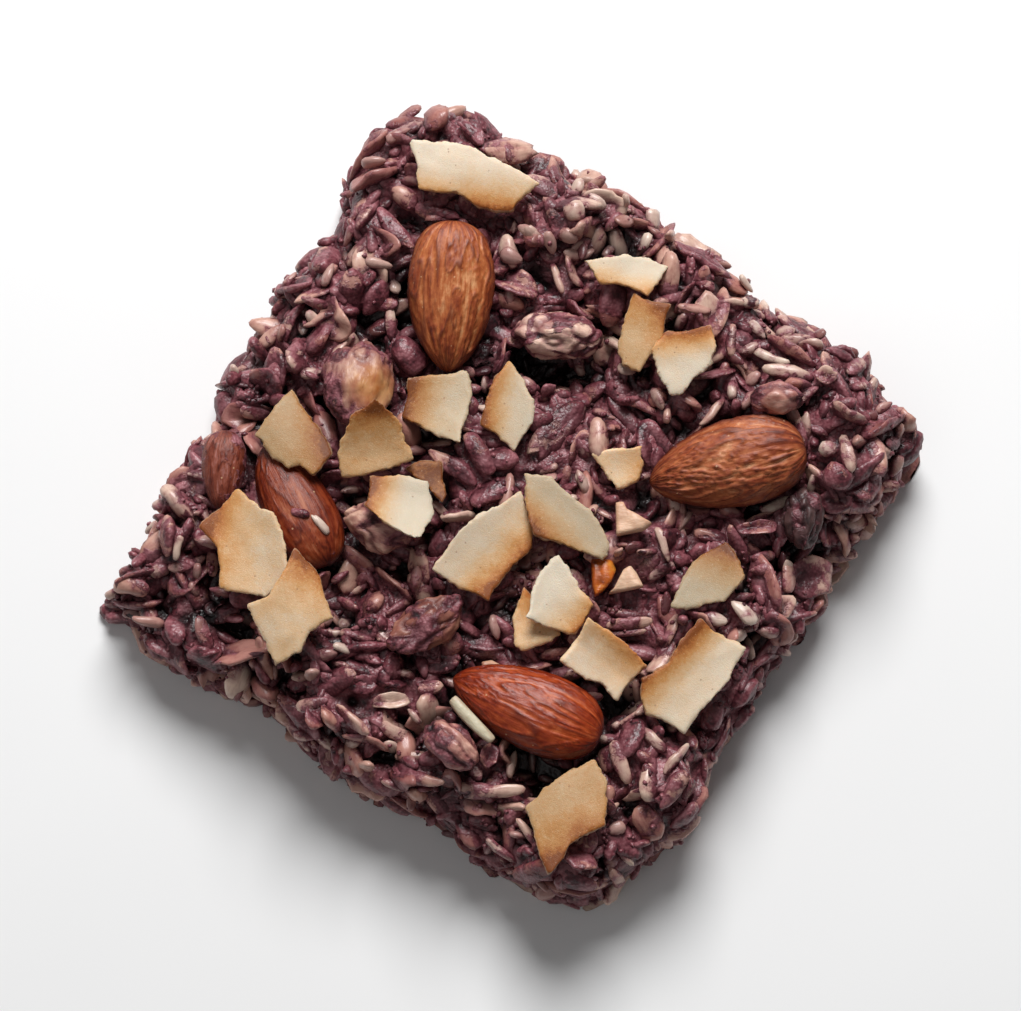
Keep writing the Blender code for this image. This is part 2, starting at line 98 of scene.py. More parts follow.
def new_piece(name, points, faces, material, slot, stands_for=(), **layers):
    """A smooth-shaded piece of the bar from points in millimetres, with point attributes."""
    mesh = mesh_of(name, points, faces)
    mesh.validate()
    mesh.shade_smooth()
    for layer, values in layers.items():
        values = np.asarray(values, dtype=np.float32)
        kind, field = ("FLOAT", "value") if values.ndim == 1 else ("FLOAT_VECTOR", "vector")
        mesh.attributes.new(layer, kind, "POINT").data.foreach_set(field, values.ravel())
    mesh.materials.append(material)
    piece = add_object(name, mesh)
    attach(piece, "root")
    if stands_for:
        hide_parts(*stands_for)


def remeshed(points, faces, voxel):
    """The closed mesh rebuilt with even quads of about the voxel's size; millimetres."""
    mesh = mesh_of("rough", points, faces)
    rough = add_object("rough", mesh)
    remesh = rough.modifiers.new("voxels", "REMESH")
    remesh.mode = "VOXEL"
    remesh.voxel_size = voxel * MM
    even = rough.evaluated_get(bpy.context.evaluated_depsgraph_get()).to_mesh()
    new_points, corners = arrays_of(even)
    bpy.data.objects.remove(rough, do_unlink=True)
    bpy.data.meshes.remove(mesh)
    return new_points, corners.reshape(-1, 4)


def edges_of(faces):
    """Each edge once, as two columns of point numbers."""
    pairs = [np.stack([faces[:, k], np.roll(faces, -1, axis=1)[:, k]], 1)
             for k in range(faces.shape[1])]
    return np.unique(np.sort(np.concatenate(pairs), axis=1), axis=0)


def smoothed(values, edges, rounds, strength=0.6):
    """Values on points, evened out along the edges."""
    values = np.array(values, dtype=float)
    flat = values.ndim == 1
    if flat:
        values = values[:, None]
    count = np.bincount(edges.ravel(), minlength=len(values))[:, None]
    for _ in range(rounds):
        total = np.stack([np.bincount(edges[:, 0], values[edges[:, 1], k], len(values))
                          + np.bincount(edges[:, 1], values[edges[:, 0], k], len(values))
                          for k in range(values.shape[1])], 1)
        values += strength * (total / np.maximum(count, 1) - values)
    return values[:, 0] if flat else values


def normals_of(points, faces):
    """Outward unit normals at the points of triangles or quads."""
    sides = faces.shape[1]
    first, second, third, last = (points[faces[:, k % sides]] for k in range(4))
    face_normals = np.cross(third - first, last - second)
    normals = np.stack([sum(np.bincount(faces[:, k], face_normals[:, axis], len(points))
                            for k in range(sides)) for axis in range(3)], 1)
    return normals / np.maximum(np.linalg.norm(normals, axis=1, keepdims=True), 1e-12)


def noise_at(points, size, offset, octaves=1):
    """Smooth noise of about -1 to 1 at points, with features of a size."""
    shift = Vector((offset, offset * 0.7, -offset))
    if octaves == 1:
        return np.array([noise.noise(Vector(p) / size + shift) for p in points])
    return np.array([noise.fractal(Vector(p) / size + shift, 0.8, 2.0, octaves) for p in points])


def noise_push(place):
    """Smooth noise of about -1 to 1 along each axis."""
    return Vector([noise.noise(place + shift) for shift in AXIS_SHIFTS])


def away_in_plan(points, x, y):
    """How far each point is from a place, seen from above."""
    return np.hypot(points[:, 0] - x, points[:, 1] - y)


def way_in_plan(degrees):
    """The way of a heading, seen from above."""
    return np.array((math.cos(math.radians(degrees)), math.sin(math.radians(degrees))))


def patch_share(points, patches):
    """1 in the middle of a patch, falling to 0 well outside it."""
    share = np.zeros(len(points))
    for x, y, radius in patches:
        share = np.maximum(share, np.exp(-(away_in_plan(points, x, y) / radius) ** 4))
    return share


def tree_of(meshes):
    """One search tree of several (points, faces)."""
    points = []
    faces = []
    count = 0
    for mesh_points, mesh_faces in meshes:
        points += mesh_points.tolist()
        faces += (mesh_faces + count).tolist()
        count += len(mesh_points)
    return BVHTree.FromPolygons(points, faces)


# ---- Shapes of the small things, one unit long, wide and high ----


def closed_rings(rings, first, last):
    """Points and triangles of a closed form: rings between a first and a last point."""
    rows, size = rings.shape[:2]
    points = np.concatenate([[first], rings.reshape(-1, 3), [last]])
    i = np.arange(size)
    j = (i + 1) % size
    faces = [np.stack([np.zeros_like(i), 1 + j, 1 + i], 1)]
    for row in range(rows - 1):
        here = 1 + row * size
        there = here + size
        faces.append(np.stack([here + i, here + j, there + j], 1))
        faces.append(np.stack([here + i, there + j, there + i], 1))
    end = 1 + (rows - 1) * size
    faces.append(np.stack([np.full_like(i, len(points) - 1), end + i, end + j], 1))
    return points, np.concatenate(faces)[:, ::-1]


def girth(t, tip, blunt):
    """Half the width of a seed at t along it: t to the tip power times 1 - t to the blunt."""
    widest = tip / (tip + blunt)
    return t ** tip * (1 - t) ** blunt / (widest ** tip * (1 - widest) ** blunt) / 2


def rim_of(points):
    """0 in a shape's middle to 1 at its outline, seen from above."""
    return np.clip(np.hypot(points[:, 0], points[:, 1]) * 2, 0, 1)


def kernel_shape(seed, tip, blunt, segments, rows, rough, bend=0.0, groove=0.0):
    """A seed or grain along X."""
    rings = np.empty((rows, segments, 3))
    for row in range(rows):
        t = 0.5 - 0.5 * math.cos(math.pi * (row + 1) / (rows + 1))
        share = girth(t, tip, blunt)
        for k in range(segments):
            angle = 2 * math.pi * k / segments
            spot = Vector((t * 1.6, math.cos(angle), math.sin(angle)))
            swell = 1 + rough * 3 * noise.noise(spot * 1.1 + Vector((seed * 5.1, 0, 0)))
            dent = groove * max(0.0, math.sin(angle)) ** 6
            across = math.cos(angle) * share * swell + bend * (t - 0.5) ** 2
            rings[row, k] = (t - 0.5, across, math.sin(angle) * share * (swell - dent))
    points, faces = closed_rings(rings, (-0.5, bend * 0.25, 0), (0.5, bend * 0.25, 0))
    return points, faces, np.where(points[:, 2] < -0.1, 1.0, rim_of(points))


def flake_shape(seed, segments=18, curl=0.0, bend=0.0):
    """A rolled oat: a thin oval with a groove along it, ragged at the rim, curled or bent."""
    shares = (0.3, 0.62, 0.88, 1.0, 0.88, 0.62, 0.3)
    seeded = np.random.default_rng(seed)
    notch = seeded.uniform(0, 2 * math.pi)
    notch_depth = seeded.uniform(0.0, 0.32)
    rings = np.empty((len(shares), segments, 3))
    for row, share in enumerate(shares):
        side = 1 if row < 3 else (-1 if row > 3 else 0)
        for k in range(segments):
            angle = 2 * math.pi * k / segments
            way = Vector((math.cos(angle), math.sin(angle), seed * 3.7))
            reach = 1 + 0.13 * noise.noise(way * 1.7) + 0.05 * noise.noise(way * 5.0)
            apart = math.atan2(math.sin(angle - notch), math.cos(angle - notch))
            reach -= notch_depth * math.exp(-(apart / 0.22) ** 2)
            x = math.cos(angle) * share * reach / 2
            y = math.sin(angle) * share * reach / 2
            ripple = 0.22 * noise.noise(Vector((x * 3.0, y * 3.0, seed * 1.9)))
            groove = 0.26 * math.exp(-(y / 0.07) ** 2) * (1 - share ** 2) * (side > 0)
            thick = side * 0.5 * math.sqrt(1 - 0.92 * share ** 2)
            rings[row, k] = (x, y, thick - groove + ripple + curl * y * y * 4 + bend * x * x * 4)
    points, faces = closed_rings(rings, (0, 0, 0.5 - 0.26), (0, 0, -0.5))
    return points, faces, rim_of(points)


def crumb_shape(seed):
    """A small rough lump of paste."""
    rings = np.empty((3, 6, 3))
    for row in range(3):
        polar = math.pi * (row + 1) / 4
        for k in range(6):
            angle = math.pi * k / 3 + row * 0.5
            way = Vector((math.sin(polar) * math.cos(angle), math.sin(polar) * math.sin(angle),
                          math.cos(polar)))
            rings[row, k] = way * (0.5 + 0.28 * noise.noise(way * 1.9 + Vector((seed, 0, 0))))
    points, faces = closed_rings(rings, (0, 0, 0.5), (0, 0, -0.5))
    return points, faces, np.zeros(len(points))


def block_shape(corners, seed, segments=44):
    """A broken piece of nut or fruit, in millimetres: a block with its corners in plan."""
    outline = np.array(corners)
    after = np.roll(outline, -1, axis=0)
    lengths = np.hypot(*(after - outline).T)
    along = np.concatenate([[0], np.cumsum(lengths)])
    spots = np.arange(segments) * along[-1] / segments
    side = np.searchsorted(along, spots, "right") - 1
    part = ((spots - along[side]) / lengths[side])[:, None]
    outline = outline[side] * (1 - part) + after[side] * part
    outline = (outline + 0.15 * (np.roll(outline, 1, 0) + np.roll(outline, -1, 0))) / 1.3
    rings = np.empty((6, segments, 3))
    for row, (share, height) in enumerate(((0.35, 0.5), (0.7, 0.5), (0.9, 0.45), (0.99, 0.28),
                                           (1.0, 0.0), (0.85, -0.5))):
        rings[row, :, :2] = outline * share
        for k, (x, y) in enumerate(outline * share):
            rings[row, k, 2] = height + 0.16 * noise.noise(Vector((x * 0.5, y * 0.5, seed * 2.9)))
    points, faces = closed_rings(rings, (0, 0, 0.5), (0, 0, -0.5))
    rim = np.clip(np.hypot(points[:, 0], points[:, 1]) / np.hypot(*outline.T).max(), 0, 1)
    return points, faces, rim


# ---- Pieces that stand out ----

# Where each lies: x, y, heading in degrees, length and width, and how pale it is.
LANDMARKS = {
    "oat_flakes": (
        (-34.5, 43, 160, 5.5, 2.5, 0.2), (41, 25, 30, 5.5, 4, 0.3), (30, 39.5, 30, 3.5, 3, 0.9),
        (33.5, 15, 40, 6.5, 2.5, 0.4), (28.5, 10.5, 20, 5.5, 2.5, 0.5), (0.5, 11.5, 80, 12, 5, 0.9),
        (-12.5, 25, 60, 7, 3, 0.5), (42.5, 7, 60, 5, 3.5, 0.9), (45.5, -11, 90, 6, 2.5, 0.8),
        (5, -31, 40, 4, 2.5, 0.8), (18, -35, 90, 4, 2.5, 0.5), (-3.5, -36.5, 30, 5, 2.5, 0.4),
        (1.5, -36, 40, 6, 2.5, 1),
    ),
    "kernels": (
        (-38, 29.5, 170, 5, 3, 0.7), (-32.5, 30, 20, 7, 2.5, 0.6), (-36.5, 24.5, 160, 8.5, 3, 0.6),
        (-14.5, 40.5, 30, 3.5, 3, 1), (39.5, 27.5, 30, 4.5, 4, 0.5), (-24.5, 9.5, 160, 6.5, 4.5, 0.1),
        (8, 19, 160, 8.5, 2.5, 0.5), (6.5, 13.5, 120, 7, 3, 0.8), (-13, 18.5, 140, 6, 2.5, 0.8),
        (-4, 3, 40, 5.5, 3.5, 0.5), (-9.5, -1.5, 0, 9, 2.5, 0.7), (-7, 2, 150, 7.5, 3, 0.7),
        (25, -7.5, 40, 7, 2, 0.8), (44.5, -6.5, 100, 5.5, 3, 0.8), (42.5, -12, 110, 4.5, 3.5, 0.5),
        (34.5, -21.5, 100, 6.5, 4, 0.2), (35, -25.5, 140, 7, 2.5, 0.9), (43.5, -25, 90, 7, 2.5, 0.8),
        (11.5, -43, 30, 7.5, 2, 0.7), (21.5, -39, 40, 9.5, 2, 0.9), (20, -45.5, 0, 7, 2, 0.7),
        (-8, -42.5, 40, 5.5, 2.5, 0.9), (-1.5, -41.5, 0, 7, 2.5, 0.8),
        (-37.5, -33.5, 110, 4, 1.5, 1), (-38.5, -37.5, 30, 3, 2.5, 1),
    ),
    "long_grains": (
        (-12, 31.5, 140, 5.5, 1.2, 0.8), (21.5, 38, 10, 6.5, 1.5, 1), (25, 37, 20, 8, 2.5, 0.9),
        (18.5, 26.5, 80, 5.5, 1.5, 0.7), (39, 31, 140, 6, 2, 0.9), (-43, 13, 80, 5, 1.5, 1),
        (23, 5, 140, 5.5, 1.5, 0.9), (25, -9, 40, 7, 1.2, 0.8), (41.5, -21, 80, 6, 1.5, 0.9),
    ),
    "pale_seeds": (
        (17.5, 41, 160, 3.5, 2, 1), (20.5, 40, 20, 4.5, 2, 0.9), (36, 30.5, 10, 3, 2.5, 1),
        (35.5, 0, 20, 3.5, 2.5, 1), (38.5, 3, 170, 5, 2.5, 1), (43, -36, 50, 4, 1.5, 1),
        (-8.5, -33.5, 0, 3, 1.5, 1),
    ),
}
# Those that lie on an almond, in the same order.
ON_ALMONDS = {
    "kernels": ((-24.4, -19.9, 15, 2.8, 1.5, 0.0),),
    "pale_seeds": ((-20.9, -19.7, 160, 3.6, 1.6, 1.0), (-21.9, -19.7, 165, 2.3, 1.1, 1.0)),
}
# Coating with paste of the darkest of them; the palest are bare.
LANDMARK_COAT = 0.9
# How high each kind is for its width, and at least how high in mm.
STOUTNESS = {"oat_flakes": (0.28, 1.1), "kernels": (0.72, 1.3), "long_grains": (0.8, 1.4),
             "pale_seeds": (0.62, 0.8), "dark_seeds": (0.68, 0.9)}
# Broken pieces: x, y, height in mm, tone, and the corners in plan turned by BLOCK_TURN.
BLOCK_TURN = 32
BLOCK_RADIUS = 2.4
BLOCKS = {
    "nut_bits": (
        (17.0, 5.3, 2.6, 0.75, ((-2.0, 2.75), (-0.85, 2.85), (-0.4, 1.8), (3.5, -0.4),
                                (2.2, -1.5), (-1.2, -2.2), (-1.9, -2.4))),
        (21.2, -2.3, 3.0, 0.9, ((-2.6, -2.1), (-1.8, -1.4), (-0.3, 1.6), (0.75, 2.2),
                                (1.7, 1.05), (2.75, -1.05), (1.2, -1.4), (-1.0, -1.8))),
        (11.5, -23.6, 2.2, 0.25, ((-1.7, 1.05), (-0.2, 1.3), (1.6, 0.4), (1.7, -0.3),
                                  (1.05, -1.3), (-0.6, -0.95), (-1.7, -0.5))),
    ),
    "dried_fruit": (
        (18.3, -4.2, 3.2, 0.5, ((-1.7, 3.2), (0.0, 3.3), (1.5, 3.0), (2.1, 1.5), (1.3, -0.2),
                                (0.0, -1.7), (-1.05, -2.5), (-1.5, -1.0))),
    ),
}
# The pale sliver's x, y, z, heading in degrees, length and width.
SLIVER = (13.3, -32.3, 19.6, 166, 8.8, 1.9)


def landmark_spots():
    """Circles (x, y, radius) that cover the pieces that stand out."""
    spots = [(x, y, BLOCK_RADIUS) for entries in BLOCKS.values() for x, y, *_ in entries]
    for x, y, heading, length, width, _ in sum(LANDMARKS.values(), ()):
        half = way_in_plan(heading) * max(length - width, 0.0) / 2
        count = max(1, round(length / max(width, 1.2)))
        for share in np.linspace(-1, 1, count) if count > 1 else (0.0,):
            spots.append((*(np.array((x, y)) + half * share), max(width, 1.0) / 2))
    return np.array(spots)


# ---- The core ----

CORE_VOXEL = 0.62
CORE_INSET = 1.5
CLEFT_CELL = 7.5
CLEFT_DEPTH = 3.2
LANDMARK_MARGIN = 1.4
BASE_LEVEL = 0.35
NUT_GAP = 1.1
# Dark hollows between the clumps: x, y, radius and depth in mm.
VOIDS = (
    (-12.5, 16.5, 4.6, 3.0), (-3.0, 20.5, 3.4, 3.0), (12.0, 19.0, 3.2, 2.4), (-28.5, 13.0, 3.4, 2.4),
    (-43.5, 3.5, 3.0, 1.8), (4.0, 3.0, 3.2, 2.4), (27.5, -20.0, 3.6, 3.2), (-28.0, -36.5, 3.6, 2.4),
    (-35.5, -42.5, 3.2, 2.8), (-36.0, -11.5, 3.0, 2.6), (40.5, 13.0, 3.2, 2.6), (44.0, 19.0, 3.2, 2.6),
    (-13.0, -25.5, 2.8, 2.6), (18.6, -41.2, 3.2, 2.2), (-29.5, 19.5, 2.8, 2.6), (-36.0, 20.0, 2.6, 2.2),
)


class Envelope:
    """The slab's outer surface before its oats and seeds."""

    def __init__(self, points, faces):
        self.tree = BVHTree.FromPolygons(points.tolist(), faces.tolist())
        self.normals = normals_of(points, faces)[faces].mean(1)

    def depth(self, points):
        """How far each point lies below the surface, in millimetres."""
        depth = np.empty(len(points))
        for i, point in enumerate(points):
            nearest, _, face, distance = self.tree.find_nearest(Vector(point))
            inside = (point - np.array(nearest)) @ self.normals[face] < 0
            depth[i] = distance if inside else -distance
        return depth

    def outward(self, point):
        """The way out through the surface nearest to a point."""
        return self.normals[self.tree.find_nearest(Vector(point))[2]]


def cleft_at(place):
    """1 on the line between two clumps, falling to 0 beside it."""
    warp = noise_push(place / 6.0) * 0.35
    nearest, second = noise.voronoi(place / CLEFT_CELL + warp)[0][:2]
    return max(0.0, 1 - (second - nearest) / 0.42)


def build_core(spots):
    """The slab drawn in under its oats and seeds, with clefts between its clumps."""
    points, faces = remeshed(*node_mesh(SLAB), CORE_VOXEL)
    edges = edges_of(faces)
    points = smoothed(points, edges, 4)
    envelope = Envelope(points, faces)
    outward = smoothed(normals_of(points, faces), edges, 8)
    outward /= np.linalg.norm(outward, axis=1, keepdims=True)
    on_top = outward[:, 2] > 0.3
    cleft = np.array([cleft_at(Vector(point)) for point in points])
    for i in np.flatnonzero(on_top & (cleft > 0)):
        free = (away_in_plan(spots, *points[i, :2]) - spots[:, 2]).min()
        cleft[i] *= min(1.0, max(0.0, free / LANDMARK_MARGIN))
    drop = CORE_INSET + CLEFT_DEPTH * cleft ** 1.5 - 0.8 * noise_at(points, 5.0, 3.0)
    for x, y, radius, depth in VOIDS:
        drop += depth * np.exp(-(away_in_plan(points, x, y) / radius) ** 2) * on_top
    nuts = tree_of([node_mesh(name) for name in ALMONDS + CHUNKS])
    for i, point in enumerate(points):
        distance = nuts.find_nearest(Vector(point), 4.0)[3]
        if distance is not None:
            drop[i] += NUT_GAP * math.exp(-(distance / 1.4) ** 2)
    upper = np.clip(outward[:, 2] * 1.5 + 1.0, 0, 1)
    points = points - outward * (drop * upper)[:, None]
    points[:, 2] = np.maximum(points[:, 2], BASE_LEVEL)
    points = smoothed(points, edges, 2)
    return points, faces, edges, normals_of(smoothed(points, edges, 6), faces), cleft, envelope


# ---- Toppings that nothing may poke through ----


class Toppings:
    """Tells whether a place is free of the nuts and chips."""

    def __init__(self, names):
        self.tree = tree_of([node_mesh(name) for name in names])

    def room_above(self, point):
        """The height up to a topping over the point; 0 inside one, 99 in the open."""
        hit, normal, _, distance = self.tree.ray_cast(Vector(point), Vector((0, 0, 1)))
        if hit is None:
            return 99.0
        return 0.0 if normal.z > 0 else distance

    def on_top(self, point, within=4.0):
        """Whether a topping lies right below the point."""
        hit = self.tree.ray_cast(Vector(point), Vector((0, 0, -1)), within)
        return hit[0] is not None and hit[1].z > 0

    def meet(self, points):
        """Whether any of the points lies on a topping or in it."""
        return any(self.on_top(point) or self.room_above(point) == 0.0 for point in points)


# ---- Scattering ----


class Near:
    """Points in cells, to find out quickly whether one is close."""

    def __init__(self, cell):
        self.cell = cell
        self.cells = {}

    def key(self, point):
        return [math.floor(c / self.cell) for c in point]

    def add(self, point):
        self.cells.setdefault(tuple(self.key(point)), []).append(point)

    def close(self, point, reach):
        around = itertools.product(*((k - 1, k, k + 1) for k in self.key(point)))
        return any(math.dist(other, point) < reach
                   for cell in around for other in self.cells.get(cell, ()))


class Heap:
    """Collects pieces of one kind and joins them into one mesh."""

    def __init__(self, shapes):
        self.shapes = shapes
        self.points = []
        self.faces = []
        self.layers = []
        self.count = 0

    def add(self, variant, size, turn, place, tone, coat):
        shape, faces, rim = self.shapes[variant]
        local = shape * size
        self.points.append(local @ turn.T + place)
        self.faces.append(faces + self.count)
        self.count += len(shape)
        local = local + np.array((tone * 97.0, coat * 61.0, variant * 13.0))
        ones = np.ones(len(shape))
        self.layers.append({"rim": rim, "tone": ones * tone, "coat": ones * coat, "local": local})

    def joined(self):
        """The pieces' points and faces, and what each point's layers hold."""
        layers = {name: np.concatenate([layer[name] for layer in self.layers])
                  for name in self.layers[0]}
        return above_floor(np.concatenate(self.points)), np.concatenate(self.faces), layers


def above_floor(points):
    points[:, 2] = np.maximum(points[:, 2], FLOOR_GAP)
    return points


# Size and amount in mm of the noise that pushes the pieces' surfaces about.
UNEVEN = ((3.2, 0.45), (1.5, 0.14))
# How far in mm a piece may stand out of the slab where its surface's normal is less steep.
SIDE_PROUD = 1.5
SIDE_SLOPE = 0.6


def uneven(points):
    """Points pushed about by smooth noise, so that no two pieces keep the same form."""
    pushed = points.copy()
    for size, amount in UNEVEN:
        pushed += np.array([noise_push(Vector(p) / size) for p in points]) * amount
    return above_floor(pushed)


def drawn_in(points, count, bed):
    """Pieces of so many points each, moved in where they stand far out of the slab's sides."""
    pieces = points.reshape(-1, count, 3).copy()
    depths = bed.envelope.depth(points).reshape(-1, count)
    for piece, depth in zip(pieces, depths):
        excess = -depth.min() - SIDE_PROUD
        outward = bed.envelope.outward(piece[depth.argmin()])
        steep = abs(outward[2]) < SIDE_SLOPE
        if excess > 0 and steep and not bed.toppings.on_top(piece.mean(0)):
            piece -= outward * excess
    return above_floor(pieces.reshape(-1, 3))


# A heading that keeps less than this share of its length on a surface is led up it instead.
LEAST_LEAN = 0.35


def frame_on(normal, heading, tilt=0.0, roll=0.0):
    """A turn whose Z is the normal and whose X heads an angle in plan, tilted and rolled."""
    normal = Vector(normal).normalized()
    along = Vector((math.cos(heading), math.sin(heading), 0.0))
    along -= normal * along.dot(normal)
    if along.length < LEAST_LEAN:
        along = Vector((0, 0, 1)) - normal * normal.z
    along.normalize()
    basis = Matrix((along, normal.cross(along), normal)).transposed()
    return np.array(basis @ Matrix.Rotation(tilt, 3, "Y") @ Matrix.Rotation(roll, 3, "X"))


def outer_points(size, turn, place):
    """Six points near the ends of a piece of a size, turned and placed."""
    ends = np.array([(1, 0, 0), (-1, 0, 0), (0, 1, 0), (0, -1, 0), (0, 0, 1), (0, 0, -1)])
    return (ends * np.array(size) * 0.45) @ turn.T + place


# A height above everything, and how far out of the core what lies on it is looked for, in mm.
OVERHEAD = 60.0
REACH = 5.0
# A normal's Z below which the core counts as facing down, and above which it counts as the top.
DOWNWARD = -0.6
UPWARD = 0.5
# How far a piece that stands out lies over the core, and more on each other such piece, in mm.
LANDMARK_LIFT = 1.2
CROWD_LIFT = 0.5
# From this height over the core, in mm, a piece lies on others.
PILED = 1.0
# Under a topping: the least room in mm that a piece needs, and the room where it can lie freely.
LEAST_ROOM = 1.2
FREE_ROOM = 6.0
# How far a piece that stands too proud is sunk, in mm.
PROUD_SINK = 0.9


class Bed:
    """The core with whatever lies on it, onto which more pieces are laid."""

    def __init__(self, core, toppings, spots):
        self.points, self.faces, self.edges, self.normals, self.cleft, self.envelope = core
        self.toppings = toppings
        self.taken = Near(2.5)
        self.tree = tree_of([(self.points, self.faces)])
        self.core_tree = self.tree
        self.landmarks = spots

    def cover(self, heaps):
        """Takes in the pieces laid so far."""
        self.tree = tree_of([(self.points, self.faces)] + [heap[:2] for heap in heaps])

    def surface(self, index):
        """Where a line into the core at one of its points first meets anything, and how high."""
        normal = Vector(self.normals[index])
        start = Vector(self.points[index]) + normal * REACH
        place, facing, _, distance = self.tree.ray_cast(start, -normal, REACH + 1.0)
        if place is None:
            return self.points[index], self.normals[index], 0.0
        return np.array(place), np.array(facing), REACH - distance

    def near_landmark(self, point, margin):
        away = away_in_plan(self.landmarks, point[0], point[1])
        return bool((away < self.landmarks[:, 2] + margin).any())

    def level(self, x, y, on_nuts=False):
        """The height of the core, or of the nuts, at a place, and the core's normal there."""
        tree = self.toppings.tree if on_nuts else self.core_tree
        hit = tree.ray_cast(Vector((x, y, OVERHEAD)), Vector((0, 0, -1)))
        away = away_in_plan(self.points, x, y)
        nearest = np.where(self.normals[:, 2] > 0, away, np.inf).argmin()
        if hit[0] is None:
            return self.points[nearest][2], self.normals[nearest]
        return hit[0].z, (np.array(hit[1]) if on_nuts else self.normals[nearest])


def lay_landmarks(heap, bed, kind, laid):
    """Lays the pieces of one kind that stand out, each at its own place."""
    seeded = np.random.default_rng(SEED + len(kind))
    for on_nuts, table in ((False, LANDMARKS), (True, ON_ALMONDS)):
        for x, y, heading, length, width, tone in table.get(kind, ()):
            share, least = STOUTNESS[kind]
            size = np.array((length, width, max(share * width, least)))
            tilt, roll = seeded.normal(0, 0.08), seeded.normal(0, 0.2)
            floor, normal = bed.level(x, y, on_nuts)
            if on_nuts:
                place = np.array((x, y, floor + 0.2 * size[2]))
            else:
                crowd = sum(math.hypot(x - a, y - b) < (width + c) * 0.4 for a, b, c in laid)
                lift = LANDMARK_LIFT + 0.35 * size[2] + CROWD_LIFT * min(crowd, 2)
                place = np.array((x, y, floor + lift))
                room = bed.toppings.room_above((x, y, floor))
                place[2] = min(place[2], floor + max(room - 0.5 * size[2] - 0.2, 0.0))
                normal = np.array(normal) + (0, 0, 1.2)
                laid.append((x, y, width))
            heading = math.radians(heading) + math.pi * seeded.integers(2)
            turn = frame_on(normal, heading, tilt, roll)
            variant = int(seeded.integers(len(heap.shapes)))
            heap.add(variant, size, turn, place, tone, LANDMARK_COAT * (1 - tone))


def scatter(heap, bed, rule):
    """Lays pieces of one kind over the bed by a rule (a dict of sizes, spacing and chances)."""
    own = Near(rule["spacing"])
    order = rng.permutation(len(bed.points))
    patch = noise_at(bed.points[order], rule["patch_size"], rule["patch_shift"])
    patch += rule["gather"] * (patch_share(bed.points[order], SEED_PATCHES) - 0.35)
    pale = patch_share(bed.points[order], PALE_PATCHES)
    way = noise_at(bed.points[order], 9.0, 21.0) * 2 * math.pi
    placed = 0
    for rank, index in enumerate(order):
        if placed >= rule["most"]:
            break
        if patch[rank] < rule["patch_from"] and rng.random() > rule["outside_patch"]:
            continue
        core_point = bed.points[index]
        core_normal = bed.normals[index]
        if rng.random() < bed.cleft[index] * rule["avoids_clefts"]:
            continue
        flat_below = core_normal[2] < DOWNWARD
        spacing = rule["spacing"] * (rule["below_spacing"] if flat_below else 1.0)
        if own.close(core_point, spacing) or bed.taken.close(core_point, rule["apart"]):
            continue
        on_top = core_normal[2] > UPWARD
        if on_top and bed.near_landmark(core_point, rule["clear"]):
            continue
        size = np.array([rng.uniform(*rule[side]) for side in ("length", "width", "height")])
        tilt = rng.normal(0, rule["tilt"])
        roll = rng.normal(0, rule["roll"])
        point, normal, height = bed.surface(index)
        if height > PILED:
            if rng.random() > rule["on_others"]:
                continue
            normal = normal + core_normal
        if rng.random() < rule["on_edge"]:
            roll = rng.uniform(0.9, 1.5) * rng.choice((-1, 1))
        lift = rng.uniform(*rule["lift"]) + rule["sits"] * size[2]
        room = bed.toppings.room_above(core_point)
        if flat_below:
            normal = core_normal
            tilt *= 0.1
            roll *= 0.1
            lift = size[2] * 0.5 - BASE_LEVEL
        elif room < LEAST_ROOM:
            continue
        elif room < FREE_ROOM:
            tilt *= 0.3
            roll *= 0.3
            lift = min(lift, 0.2)
        heading = way[rank] + rng.normal(0, rule["stray"])
        turn = frame_on(normal, heading + math.pi * rng.integers(2), tilt, roll)
        place = point + core_normal * lift
        outer = outer_points(size, turn, place)
        if not flat_below and bed.toppings.meet(outer):
            continue
        if not flat_below and bed.envelope.depth(outer).min() < rule["proud"]:
            place = place - core_normal * PROUD_SINK
        if on_top and any(bed.near_landmark(p, 0.0) for p in outer):
            place = place - core_normal * rule["under"]
        variant = int(rng.integers(len(heap.shapes)))
        coat = float(np.clip(rng.normal(*rule["coat"]) - BARER * pale[rank], 0, 1))
        tone = 1 - (1 - rng.random()) * (1 - PALER * pale[rank])
        heap.add(variant, size, turn, place, tone, coat)
        own.add(tuple(core_point))
        bed.taken.add(tuple(core_point))
        placed += 1


BIG_KINDS = ("oat_flakes", "kernels")
BIG = dict(gather=-0.2, on_others=1.0, avoids_clefts=0.85, clear=1.1, under=2.3, proud=-1.3,
           stray=0.45)
SMALL = dict(gather=0.7, clear=0.5, under=1.2, proud=-1.4, sits=0.12, stray=0.9)
SEED_SIZE = dict(width=(1.8, 2.6), height=(1.1, 1.7))
